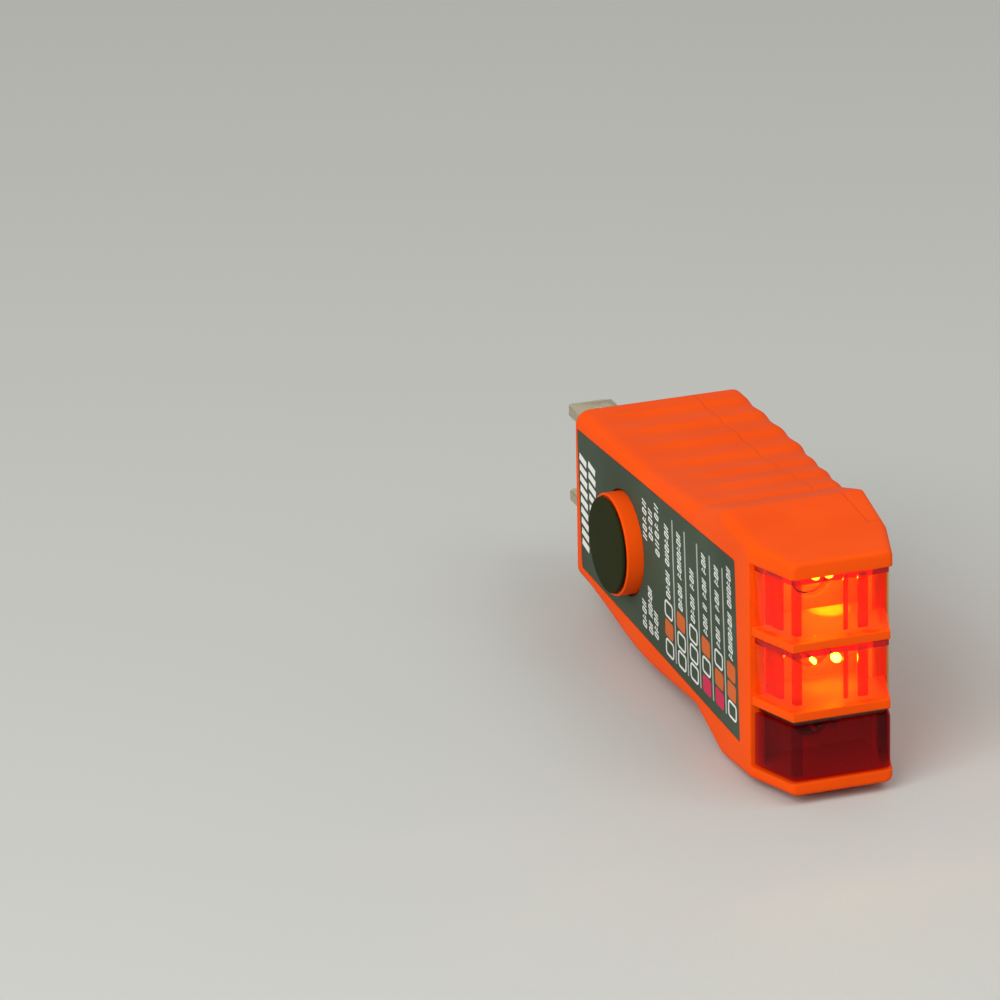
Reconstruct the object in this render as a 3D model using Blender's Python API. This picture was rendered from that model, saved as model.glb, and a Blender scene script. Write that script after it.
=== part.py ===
"""Outlet tester plug: two-shell case, three prongs, three lamp windows, a label and a test button.

The plug face is the plane y = 0 and the prongs point along +Y. The body runs along -Y, the label
faces -X and +Z is up. Distances named s run from the plug face towards the nose, so y = -s.
"""

import math

import bmesh
import bpy
from mathutils import Vector

MM = 0.001
GAP = 0.3 * MM  # clearance between pieces that touch or are cut to each other
GRIP_OVERLAP = 1.0 * MM  # how far the grip's solid runs on inside the head's

# Case: lengths along the body, from the plug face
BODY_LENGTH = 74.0 * MM
GRIP_LENGTH = 46.4 * MM  # ribbed part
FLARE_LENGTH = 8.6 * MM  # from the grip to the widest part of the head
NOSE_LENGTH = 8.4 * MM  # part whose corners slope in, at the front
BULKHEAD = 2.4 * MM  # wall behind the lamp windows
BACK_END_WALL = 1.0 * MM  # front wall of the back shell

# Case: heights above and below the centre line, and places across it
PLUG_HALF = 12.4 * MM  # half height at the plug face
WAIST_HALF = 12.6 * MM  # top side, at the middle of the grip
SWELL_HALF = 15.3 * MM  # bottom side, at the middle of the grip
NECK_HALF = 14.2 * MM  # both sides, where the grip ends
RIDGE_HALF = 14.8 * MM  # both sides, at the head's rear edge
HEAD_HALF = 17.6 * MM  # both sides, at the widest part of the head
NOSE_ROOT_HALF = 16.7 * MM  # both sides, where the nose starts
NOSE_HALF = 16.3 * MM  # both sides, at the front face
BODY_DEPTH = 24.5 * MM  # label face to back face, at the plug face
NECK_DEPTH = 21.8 * MM  # the same, where the grip ends
HEAD_DEPTH = 20.7 * MM  # the same, at the widest part of the head
NOSE_ROOT_DEPTH = 19.5 * MM  # the same, where the nose starts
NOSE_BACK = 17.0 * MM  # label face to the front face's far edge
NOSE_SLOPE = 3.0 * MM  # label face to the front face's near edge
LABEL_SIDE = 12.0 * MM  # label face to the centre of the plug face
WALL = 2.0 * MM
LABEL_EDGE_RADIUS = 1.5 * MM
BACK_EDGE_RADIUS = 1.5 * MM
HEAD_EDGE_RADIUS = 0.5 * MM

# Grip ribs
RIB_COUNT = 5
RIB_PITCH = 7.2 * MM
RIB_START = 5.4 * MM  # first groove
RIB_DEPTH = 0.4 * MM

# Parting plane between the shells, from the label face
PARTING_DEPTH = 17.4 * MM

# Lamp windows: edges from low to high
RED_WINDOW = (-14.6 * MM, -5.9 * MM)
LOWER_WINDOW = (-4.7 * MM, 3.3 * MM)
UPPER_WINDOW = (5.0 * MM, 14.1 * MM)
LENS_WALL = 1.3 * MM
AMBER_RECESS = 0.45 * MM
RED_RECESS = 0.3 * MM
DIVIDER_RECESS = 0.3 * MM  # how far the bars between windows stand back from the rims
RED_LEDGE_HEIGHT = 0.9 * MM  # strip along the red lens's top that is set back
RED_LEDGE_SETBACK = 0.7 * MM

# Lamps
LAMP_RADIUS = 2.7 * MM
LAMP_LENGTH = 8.0 * MM
LAMP_NOSE_GAP = 4.2 * MM  # lamp's tip to the lens's inner face
LEAD_RADIUS = 0.3 * MM
LEAD_SPREAD = 1.2 * MM  # each lead's distance from the lamp's axis

# Label
LABEL_START = 1.4 * MM
LABEL_NOSE_GAP = 4.0 * MM  # label's end to the start of the nose
LABEL_HALF_PLUG = 9.9 * MM
LABEL_HALF_HEAD = 12.5 * MM
LABEL_THICKNESS = 0.4 * MM

# Test button
BUTTON_PLACE = 19.3 * MM  # from the plug face
BUTTON_RADIUS = 7.1 * MM
BUTTON_PROUD = 2.7 * MM
BUTTON_TRAVEL = 1.6 * MM
BUTTON_FLANGE = 1.1 * MM  # how far the hidden flange reaches past the cap
FLANGE_THICKNESS = 1.0 * MM
INSERT_RIM = 0.4 * MM
INSERT_THICKNESS = 0.6 * MM
INSERT_PROUD = 0.15 * MM
STEM_RADIUS = 1.8 * MM
SPRING_RADIUS = 5.0 * MM
SPRING_WIRE = 0.3 * MM  # radius of the wire
SPRING_TURNS = 4
BRIDGE_LENGTH = 7.6 * MM
BRIDGE_WIDTH = 3.0 * MM
BRIDGE_THICKNESS = 0.5 * MM
PAD_RADIUS = 1.1 * MM
PAD_HEIGHT = 0.6 * MM
PAD_SPREAD = 2.5 * MM

# Circuit board
BOARD_DEPTH = 12.5 * MM  # label face to the board's near face
BOARD_THICKNESS = 1.6 * MM
BOARD_START = 13.0 * MM
BOARD_NOSE_GAP = 4.6 * MM  # board's end to the bulkhead
BOARD_EDGE_GAP = 0.9 * MM  # board's edge to the inside of the case

# Prongs (grounded 15 A pattern)
BLADE_SPACING = 12.7 * MM
BLADE_WIDTH = 6.35 * MM
BLADE_THICKNESS = 1.52 * MM
BLADE_LENGTH = 17.2 * MM
BLADE_HOLE_RADIUS = 1.6 * MM
BLADE_HOLE_PLACE = 11.7 * MM
BLADE_DEPTH = 7.9 * MM  # label face to the blades' centre
GROUND_OFFSET = 11.9 * MM  # blades' line to the ground pin's axis
GROUND_RADIUS = 2.38 * MM
GROUND_LENGTH = 20.3 * MM
SHANK_RADIUS = 1.0 * MM
PRONG_TAIL = 2.4 * MM  # how far a prong reaches past the block, inside

# Prong block
BLOCK_LENGTH = 7.0 * MM
BLOCK_EDGE_GAP = 0.9 * MM

# Wires and resistors
WIRE_RADIUS = 0.7 * MM
WIRE_LEAD_OUT = 1.6 * MM  # straight stretch where a wire leaves its prong
RESISTOR_RADIUS = 1.2 * MM
RESISTOR_LENGTH = 6.5 * MM
RESISTOR_SPAN = 13.0 * MM  # lead to lead
RESISTOR_SPACING = 6.2 * MM
TEST_RESISTOR_RADIUS = 1.8 * MM
TEST_RESISTOR_LENGTH = 9.0 * MM
TEST_RESISTOR_SPAN = 16.0 * MM

# Case screws and their bosses
SCREW_PLACE = 33.0 * MM
SCREW_HALF_SPACING = 7.0 * MM
SCREW_RADIUS = 1.1 * MM
SCREW_HEAD_RADIUS = 2.2 * MM
SCREW_HEAD_HEIGHT = 1.3 * MM
SCREW_LENGTH = 11.0 * MM
BOSS_RADIUS = 2.3 * MM
BOSS_SHOULDER = 1.0 * MM
COLUMN_WALL = 1.0 * MM
HEAD_SEAT = 1.6 * MM  # counterbore's depth below the back face

# Places that follow
LABEL_X = -LABEL_SIDE
PARTING_X = LABEL_X + PARTING_DEPTH
HEAD_PLACE = GRIP_LENGTH + FLARE_LENGTH
NOSE_PLACE = BODY_LENGTH - NOSE_LENGTH
WINDOW_PLACE = NOSE_PLACE + 0.4 * MM
CAVITY_END = WINDOW_PLACE - BULKHEAD
BACK_END = CAVITY_END + BACK_END_WALL
BOARD_X = LABEL_X + BOARD_DEPTH
BOARD_END = CAVITY_END - BOARD_NOSE_GAP
BLADE_X = LABEL_X + BLADE_DEPTH
GROUND_X = BLADE_X + GROUND_OFFSET
BLOCK_START = WALL + GAP
BLOCK_END = BLOCK_START + BLOCK_LENGTH
PRONG_END = BLOCK_END + PRONG_TAIL
PAD_TOP_X = BOARD_X - GAP - PAD_HEIGHT
BRIDGE_X = PAD_TOP_X - GAP - BUTTON_TRAVEL - BRIDGE_THICKNESS
FLANGE_X = LABEL_X + WALL + GAP
FLANGE_END_X = FLANGE_X + FLANGE_THICKNESS
FLANGE_RADIUS = BUTTON_RADIUS + BUTTON_FLANGE
WINDOWS = {"red": RED_WINDOW, "lower": LOWER_WINDOW, "upper": UPPER_WINDOW}


def clearScene():
    for obj in list(bpy.data.objects):
        bpy.data.objects.remove(obj, do_unlink=True)


def material(name, colour, roughness, metallic=0.0, alpha=1.0):
    made = bpy.data.materials.new(name)
    made.use_nodes = True
    shader = made.node_tree.nodes["Principled BSDF"]
    shader.inputs["Base Color"].default_value = (*colour, 1.0)
    shader.inputs["Roughness"].default_value = roughness
    shader.inputs["Metallic"].default_value = metallic
    shader.inputs["Alpha"].default_value = alpha
    return made


def solid(name, build, finish=None):
    """One object from a bmesh; without a finish it is a hidden cutter."""
    bmesh.ops.recalc_face_normals(build, faces=build.faces)
    mesh = bpy.data.meshes.new(name)
    build.to_mesh(mesh)
    build.free()
    obj = bpy.data.objects.new(name, mesh)
    bpy.context.scene.collection.objects.link(obj)
    if finish is None:
        obj.hide_render = True
        obj.display_type = "WIRE"
    else:
        mesh.materials.append(material(name, *finish))
    return obj


def combine(target, operation, *others):
    """Adds an exact Boolean for each other object, in order."""
    for other in others:
        step = target.modifiers.new(f"{operation.lower()} {other.name}", "BOOLEAN")
        step.operation = operation
        step.solver = "EXACT"
        step.object = other
    return target


def smoothRound(obj, angle=40):
    obj.data.shade_smooth()
    obj.data.set_sharp_from_angle(angle=math.radians(angle))
    return obj


def loft(rings):
    """Closed bmesh through rings of equal point counts."""
    build = bmesh.new()
    loops = [[build.verts.new(point) for point in ring] for ring in rings]
    count = len(loops[0])
    for near, far in zip(loops, loops[1:]):
        for i in range(count):
            j = (i + 1) % count
            build.faces.new((near[i], near[j], far[j], far[i]))
    build.faces.new(loops[0])
    build.faces.new(list(reversed(loops[-1])))
    return build


def prism(outline, low, high, place):
    """Extrudes a flat outline; place(a, b, c) puts its two coordinates and the height in space."""
    return loft([[place(a, b, c) for a, b in outline] for c in (low, high)])


def box(low, high):
    corners = ((low[0], low[2]), (high[0], low[2]), (high[0], high[2]), (low[0], high[2]))
    return prism(corners, low[1], high[1], lambda a, b, c: Vector((a, c, b)))


def turned(profile, place, sides=32):
    """Turns (height, radius) pairs; place(height, u, v) puts a point, and radius zero is one point."""
    build = bmesh.new()
    rows = []
    for height, radius in profile:
        row = []
        for i in range(sides if radius > 0 else 1):
            angle = 2 * math.pi * i / sides
            point = place(height, radius * math.cos(angle), radius * math.sin(angle))
            row.append(build.verts.new(point))
        rows.append(row)
    for near, far in zip(rows, rows[1:]):
        for i in range(sides):
            j = (i + 1) % sides
            if len(near) == 1:
                build.faces.new((near[0], far[j], far[i]))
            elif len(far) == 1:
                build.faces.new((near[i], near[j], far[0]))
            else:
                build.faces.new((near[i], near[j], far[j], far[i]))
    for row in (rows[0], rows[-1]):
        if len(row) > 1:
            build.faces.new(row)
    return build


def alongX(y, z):
    return lambda h, u, v: Vector((h, y + u, z + v))


def alongY(x, z):
    return lambda h, u, v: Vector((x + u, h, z + v))


def tube(points, radii, sides=10):
    """Closed round bar along points, with one radius for each point."""
    build = bmesh.new()
    path = [Vector(point) for point in points]
    side = None
    rings = []
    for i, here in enumerate(path):
        ahead = (path[min(i + 1, len(path) - 1)] - path[max(i - 1, 0)]).normalized()
        if side is None:
            side = ahead.orthogonal().normalized()
        side = (side - ahead * side.dot(ahead)).normalized()
        other = ahead.cross(side)
        ring = []
        for k in range(sides):
            angle = 2 * math.pi * k / sides
            offset = side * math.cos(angle) + other * math.sin(angle)
            ring.append(build.verts.new(here + offset * radii[i]))
        rings.append(ring)
    for near, far in zip(rings, rings[1:]):
        for k in range(sides):
            j = (k + 1) % sides
            build.faces.new((near[k], near[j], far[j], far[k]))
    build.faces.new(rings[0])
    build.faces.new(list(reversed(rings[-1])))
    return build


def bendPath(points, radius, steps=4):
    """Rounds the corners of a short path with arcs of the given radius."""
    path = [Vector(points[0])]
    for before, corner, after in zip(points, points[1:], points[2:]):
        before, corner, after = Vector(before), Vector(corner), Vector(after)
        toBack = (before - corner).normalized()
        toNext = (after - corner).normalized()
        reach = min(radius, 0.45 * (before - corner).length, 0.45 * (after - corner).length)
        start, end = corner + toBack * reach, corner + toNext * reach
        for k in range(steps + 1):
            t = k / steps
            path.append(start * (1 - t) ** 2 + corner * 2 * t * (1 - t) + end * t * t)
    path.append(Vector(points[-1]))
    return path


# Case shape

def between(s, stations):
    """Smooth value at s from (place, value) stations, level at each one."""
    if s <= stations[0][0]:
        return stations[0][1]
    for (near, low), (far, high) in zip(stations, stations[1:]):
        if s <= far:
            t = (s - near) / (far - near)
            return low + (high - low) * t * t * (3 - 2 * t)
    return stations[-1][1]


def straight(s, stations):
    for (near, low), (far, high) in zip(stations, stations[1:]):
        if s <= far:
            return low + (high - low) * (s - near) / (far - near)
    return stations[-1][1]


def ribGroove(s):
    """Depth of the grip's grooves at s: each rises gently and drops sharply."""
    along = (s - RIB_START) / RIB_PITCH
    if along < -0.5 or along > RIB_COUNT - 0.5:
        return 0.0
    return RIB_DEPTH * (0.5 + 0.5 * math.cos(2 * math.pi * along)) ** 2


def headHeight(s):
    """Half height of the head: rises to its widest part, then falls to the front face."""
    stations = (
        (GRIP_LENGTH, RIDGE_HALF),
        (HEAD_PLACE, HEAD_HALF),
        (NOSE_PLACE, NOSE_ROOT_HALF),
        (BODY_LENGTH, NOSE_HALF),
    )
    return straight(s, stations)


def gripTop(s):
    stations = ((0.0, PLUG_HALF), (0.5 * GRIP_LENGTH, WAIST_HALF), (GRIP_LENGTH, NECK_HALF))
    return between(s, stations) - ribGroove(s)


def gripBottom(s):
    stations = ((0.0, PLUG_HALF), (0.58 * GRIP_LENGTH, SWELL_HALF), (GRIP_LENGTH, NECK_HALF))
    return between(s, stations) - ribGroove(s)


def topHeight(s):
    return gripTop(s) if s < GRIP_LENGTH else headHeight(s)


def bottomHeight(s):
    return gripBottom(s) if s < GRIP_LENGTH else headHeight(s)


def backX(s):
    stations = (
        (0.0, BODY_DEPTH),
        (0.5 * GRIP_LENGTH, BODY_DEPTH),
        (GRIP_LENGTH, NECK_DEPTH),
        (HEAD_PLACE, HEAD_DEPTH),
        (NOSE_PLACE, NOSE_ROOT_DEPTH),
        (BODY_LENGTH, NOSE_BACK),
    )
    return LABEL_X + straight(s, stations)


def labelX(s):
    return LABEL_X + straight(s, ((0.0, 0.0), (NOSE_PLACE, 0.0), (BODY_LENGTH, NOSE_SLOPE)))


def roundedRing(s, low, high, near, far, labelRadius, backRadius):
    """Section of the case at s between low and high, near and far, with rounded corners."""
    corners = (
        (far - backRadius, high - backRadius, backRadius, 0.0),
        (near + labelRadius, high - labelRadius, labelRadius, 90.0),
        (near + labelRadius, low + labelRadius, labelRadius, 180.0),
        (far - backRadius, low + backRadius, backRadius, 270.0),
    )
    ring = []
    for x, z, radius, start in corners:
        for k in range(4):
            angle = math.radians(start + 30 * k)
            ring.append(Vector((x + radius * math.cos(angle), -s, z + radius * math.sin(angle))))
    return ring


def gripStations():
    """Places along the grip where its shape bends."""
    ribs = [RIB_START + RIB_PITCH * (k / 4) for k in range(-2, 4 * RIB_COUNT - 1)]
    inside = [s for s in ribs if 0.2 * MM < s < GRIP_LENGTH - 0.2 * MM]
    return [0.0] + inside + [GRIP_LENGTH]


def gripSides(s, inset):
    """Low, high, near and far faces of the grip at s, drawn in by inset."""
    return (inset - gripBottom(s), gripTop(s) - inset, LABEL_X + inset, backX(s) - inset)


def headSides(s, inset):
    half = headHeight(s) - inset
    return (-half, half, labelX(s) + inset, backX(s) - inset)


def gripBody():
    """The ribbed grip; its end narrows inside the head so that no faces lie on each other."""
    rings = []
    for s in gripStations():
        rings.append(roundedRing(s, *gripSides(s, 0.0), LABEL_EDGE_RADIUS, BACK_EDGE_RADIUS))
    end = roundedRing(
        GRIP_LENGTH + GRIP_OVERLAP,
        *gripSides(GRIP_LENGTH, GRIP_OVERLAP / 2),
        LABEL_EDGE_RADIUS,
        BACK_EDGE_RADIUS,
    )
    return loft(rings + [end])


def headBody():
    """The head and nose, with a small chamfer round the front face."""
    edge = HEAD_EDGE_RADIUS
    rings = []
    for s in (GRIP_LENGTH, HEAD_PLACE, NOSE_PLACE, BODY_LENGTH - edge):
        rings.append(roundedRing(s, *headSides(s, 0.0), edge, edge))
    rings.append(roundedRing(BODY_LENGTH, *headSides(BODY_LENGTH, edge), edge, edge))
    return loft(rings)


def caseCavity():
    """Inside of the case: one wall in from the outside, from the plug wall to the bulkhead."""
    radius = 0.5 * MM
    middle = [s for s in gripStations() if WALL + 0.2 * MM < s < GRIP_LENGTH - WALL]
    rings = []
    for s in [WALL] + middle:
        rings.append(roundedRing(s, *gripSides(s, WALL), radius, radius))
    for s in (GRIP_LENGTH + WALL, HEAD_PLACE, CAVITY_END):
        rings.append(roundedRing(s, *headSides(s, WALL), radius, radius))
    return loft(rings)


def smallestHeight(start, end):
    """Least half height of the case between two places along it."""
    places = [start + (end - start) * k / 40 for k in range(41)]
    return min(min(topHeight(s), bottomHeight(s)) for s in places)


def noseEdge(offset, rear):
    """Plan outline round the nose, drawn in by offset and open at the rear, as (x, s) pairs."""
    front = BODY_LENGTH - offset
    labelSlope = NOSE_SLOPE / NOSE_LENGTH
    backSlope = (NOSE_ROOT_DEPTH - NOSE_BACK) / NOSE_LENGTH
    points = []
    for s in (rear, front):
        points.append((LABEL_X + labelSlope * (s - NOSE_PLACE) + offset, s))
    for s in (front, rear):
        points.append((LABEL_X + NOSE_ROOT_DEPTH - backSlope * (s - NOSE_PLACE) - offset, s))
    return points


def lensOutline(recess):
    """Plan outline of a lens: round the nose and back along its own inner face."""
    rear = WINDOW_PLACE + GAP
    return noseEdge(recess, rear) + list(reversed(noseEdge(recess + LENS_WALL, rear)))


def fieldOutline():
    """Plan outline of what is cut away so that the bars stand back from the rims."""
    wide = 5 * MM
    inner = noseEdge(DIVIDER_RECESS, WINDOW_PLACE)
    left, right = LABEL_X - wide, LABEL_X + NOSE_ROOT_DEPTH + wide
    front = BODY_LENGTH + wide
    outer = [(left, WINDOW_PLACE), (left, front), (right, front), (right, WINDOW_PLACE)]
    return outer + list(reversed(inner))


def planPlace(a, b, c):
    """Puts a plan point (x, s) at height c."""
    return Vector((a, -b, c))


# Cutters

def labelOutline(margin):
    start, end = LABEL_START - margin, NOSE_PLACE - LABEL_NOSE_GAP + margin
    near, far = LABEL_HALF_PLUG + margin, LABEL_HALF_HEAD + margin
    return [(start, -near), (start, near), (end, far), (end, -far)]


def labelPlace(a, b, c):
    """Puts a label point (s, z) at x = c."""
    return Vector((c, -a, b))


def prongCutters():
    cutters = []
    for sign, name in ((1, "hot"), (-1, "neutral")):
        z = sign * BLADE_SPACING / 2
        halfWidth, halfThick = BLADE_WIDTH / 2 + GAP, BLADE_THICKNESS / 2 + GAP
        low = (BLADE_X - halfWidth, -BLOCK_END - 1 * MM, z - halfThick)
        high = (BLADE_X + halfWidth, 1 * MM, z + halfThick)
        cutters.append(solid(f"cut_blade_{name}", box(low, high)))
    return cutters


def groundCutter():
    profile = ((-BLOCK_START, GROUND_RADIUS + GAP), (1 * MM, GROUND_RADIUS + GAP))
    return solid("cut_ground_pin", turned(profile, alongY(GROUND_X, 0.0), 24))


ORANGE = ((0.90, 0.13, 0.02), 0.38)


def windowCutters():
    """Cuts back the bars, then opens each window and the hole for its lamp."""
    field = prism(fieldOutline(), RED_WINDOW[0], UPPER_WINDOW[1], planPlace)
    cutters = [solid("cut_window_field", field)]
    near, far = LABEL_X - 5 * MM, LABEL_X + BODY_DEPTH + 5 * MM
    front = -BODY_LENGTH - 5 * MM
    radius = LAMP_RADIUS + GAP
    ends = ((-WINDOW_PLACE - 1 * MM, radius), (-CAVITY_END + 1 * MM, radius))
    for name, (low, high) in WINDOWS.items():
        pocket = box((near, front, low), (far, -WINDOW_PLACE, high))
        cutters.append(solid(f"cut_window_{name}", pocket))
        hole = turned(ends, alongY(lampX(), (low + high) / 2), 24)
        cutters.append(solid(f"cut_lamp_{name}", hole))
    return cutters


def labelCutters():
    depth = LABEL_X + LABEL_THICKNESS + GAP
    recess = prism(labelOutline(GAP), LABEL_X - 1 * MM, depth, labelPlace)
    radius = BUTTON_RADIUS + GAP
    ends = ((LABEL_X - 1 * MM, radius), (LABEL_X + WALL + 1 * MM, radius))
    hole = turned(ends, alongX(-BUTTON_PLACE, 0.0), 40)
    return [solid("cut_label", recess), solid("cut_button", hole)]


def partingCutter(name, margin):
    """Everything past the parting plane and behind the nose, drawn in by margin."""
    tall = HEAD_HALF + 10 * MM
    low = (PARTING_X + margin, margin - BACK_END, -tall)
    high = (LABEL_X + BODY_DEPTH + 5 * MM, 5 * MM, tall)
    return solid(name, box(low, high))


def buildCase():
    head = solid("add_case_head", headBody())
    cavity = solid("cut_case_cavity", caseCavity())
    backSide = partingCutter("cut_back_side", GAP / 2)
    frontSide = partingCutter("cut_front_side", -GAP / 2)
    ground = groundCutter()

    front = smoothRound(solid("case_front", gripBody(), ORANGE))
    combine(front, "UNION", head)
    combine(front, "DIFFERENCE", cavity)
    combine(front, "UNION", *bossPosts())
    combine(front, "DIFFERENCE", frontSide, *windowCutters(), *labelCutters())
    combine(front, "DIFFERENCE", *prongCutters(), ground, *pilotCutters())

    back = smoothRound(solid("case_back", gripBody(), ORANGE))
    combine(back, "UNION", head)
    combine(back, "DIFFERENCE", cavity)
    combine(back, "UNION", *backColumns())
    combine(back, "INTERSECT", backSide)
    combine(back, "DIFFERENCE", ground, *screwCutters())


def screwSides():
    return (("upper", SCREW_HALF_SPACING), ("lower", -SCREW_HALF_SPACING))


def screwSeatX():
    return backX(SCREW_PLACE) - HEAD_SEAT


def bossPosts():
    """Stepped posts from the label wall: the shoulder backs the board, the tip passes through it."""
    posts = []
    for name, z in screwSides():
        profile = (
            (LABEL_X + WALL / 2, BOSS_RADIUS + BOSS_SHOULDER),
            (BOARD_X - GAP, BOSS_RADIUS + BOSS_SHOULDER),
            (BOARD_X - GAP, BOSS_RADIUS),
            (PARTING_X + 1 * MM, BOSS_RADIUS),
        )
        posts.append(solid(f"add_boss_{name}", turned(profile, alongX(-SCREW_PLACE, z), 20)))
    return posts


def backColumns():
    """Posts from the back wall round the screw heads."""
    radius = SCREW_HEAD_RADIUS + GAP + COLUMN_WALL
    profile = ((PARTING_X - 1 * MM, radius), (backX(SCREW_PLACE) - WALL / 2, radius))
    columns = []
    for name, z in screwSides():
        columns.append(solid(f"add_column_{name}", turned(profile, alongX(-SCREW_PLACE, z), 20)))
    return columns


def pilotCutters():
    cutters = []
    for name, z in screwSides():
        start = screwSeatX() - SCREW_LENGTH - 2 * GAP
        profile = ((start, SCREW_RADIUS + GAP), (PARTING_X + 2 * MM, SCREW_RADIUS + GAP))
        cutters.append(solid(f"cut_pilot_{name}", turned(profile, alongX(-SCREW_PLACE, z), 16)))
    return cutters


def screwCutters():
    cutters = []
    for name, z in screwSides():
        profile = (
            (PARTING_X - 2 * MM, SCREW_RADIUS + GAP),
            (screwSeatX(), SCREW_RADIUS + GAP),
            (screwSeatX(), SCREW_HEAD_RADIUS + GAP),
            (backX(0.0) + 2 * MM, SCREW_HEAD_RADIUS + GAP),
        )
        cutters.append(solid(f"cut_screw_{name}", turned(profile, alongX(-SCREW_PLACE, z), 20)))
    return cutters


def buildScrews():
    steel = ((0.55, 0.55, 0.56), 0.3, 1.0)
    seat = screwSeatX() + GAP
    for name, z in screwSides():
        profile = (
            (seat - SCREW_LENGTH, 0.0),
            (seat - SCREW_LENGTH + SCREW_RADIUS, SCREW_RADIUS),
            (seat, SCREW_RADIUS),
            (seat, SCREW_HEAD_RADIUS),
            (seat + 0.6 * SCREW_HEAD_HEIGHT, SCREW_HEAD_RADIUS),
            (seat + SCREW_HEAD_HEIGHT, 0.55 * SCREW_HEAD_RADIUS),
        )
        body = turned(profile, alongX(-SCREW_PLACE, z), 16)
        screw = smoothRound(solid(f"case_screw_{name}", body, steel))
        arm, half = 0.75 * SCREW_HEAD_RADIUS, 0.16 * SCREW_HEAD_RADIUS
        bottom, top = seat + 0.45 * SCREW_HEAD_HEIGHT, seat + 2 * SCREW_HEAD_HEIGHT
        for label, (dy, dz) in {"a": (arm, half), "b": (half, arm)}.items():
            slot = box((bottom, -SCREW_PLACE - dy, z - dz), (top, -SCREW_PLACE + dy, z + dz))
            combine(screw, "DIFFERENCE", solid(f"cut_drive_{name}_{label}", slot))


def buildLabel():
    paint = ((0.06, 0.085, 0.06), 0.5)
    panel = prism(labelOutline(0.0), LABEL_X, LABEL_X + LABEL_THICKNESS, labelPlace)
    combine(solid("label_plate", panel, paint), "DIFFERENCE", bpy.data.objects["cut_button"])


# Lamps and lenses

def lampX():
    """Lamps stand midway across the nose."""
    return LABEL_X + (NOSE_SLOPE + NOSE_BACK) / 2


def lampTip():
    return BODY_LENGTH - AMBER_RECESS - LENS_WALL - LAMP_NOSE_GAP


def buildLenses():
    amber = ((1.0, 0.30, 0.02), 0.12, 0.0, 0.6)
    red = ((0.30, 0.01, 0.01), 0.15, 0.0, 0.8)
    for name, (low, high) in (("upper", UPPER_WINDOW), ("lower", LOWER_WINDOW)):
        amberLens = prism(lensOutline(AMBER_RECESS), low + GAP, high - GAP, planPlace)
        solid(f"lens_amber_{name}", amberLens, amber)
    low, high = RED_WINDOW
    ledge = high - RED_LEDGE_HEIGHT
    redLens = solid("lens_red", prism(lensOutline(RED_RECESS), low + GAP, ledge, planPlace), red)
    strip = prism(lensOutline(RED_RECESS + RED_LEDGE_SETBACK), ledge - LENS_WALL, high - GAP, planPlace)
    combine(redLens, "UNION", solid("add_red_ledge", strip))


def buildLamps():
    glass = ((1.0, 0.55, 0.15), 0.1, 0.0, 0.5)
    wire = ((0.5, 0.5, 0.5), 0.35, 1.0)
    tip = -lampTip()
    base = tip + LAMP_LENGTH
    windows = {"lower": RED_WINDOW, "middle": LOWER_WINDOW, "upper": UPPER_WINDOW}
    for name, (low, high) in windows.items():
        z = (low + high) / 2
        profile = (
            (base, 0.62 * LAMP_RADIUS),
            (base - 0.12 * LAMP_LENGTH, LAMP_RADIUS),
            (tip + 0.8 * LAMP_RADIUS, LAMP_RADIUS),
            (tip + 0.45 * LAMP_RADIUS, 0.85 * LAMP_RADIUS),
            (tip + 0.2 * LAMP_RADIUS, 0.5 * LAMP_RADIUS),
            (tip + 0.12 * LAMP_RADIUS, 0.2 * LAMP_RADIUS),
            (tip, 0.0),
        )
        smoothRound(solid(f"lamp_{name}", turned(profile, alongY(lampX(), z), 20), glass), 60)
        for label, side in (("a", -1), ("b", 1)):
            leadZ = z + side * LEAD_SPREAD
            bend = -BOARD_END + 2.4 * MM
            points = ((lampX(), base + GAP, leadZ), (lampX(), bend, leadZ), (BOARD_X - GAP, bend, leadZ))
            path = bendPath(points, 1.2 * MM, 3)
            lead = tube(path, [LEAD_RADIUS] * len(path), 8)
            smoothRound(solid(f"lamp_lead_{name}_{label}", lead, wire), 60)


# Button and its contacts

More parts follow.
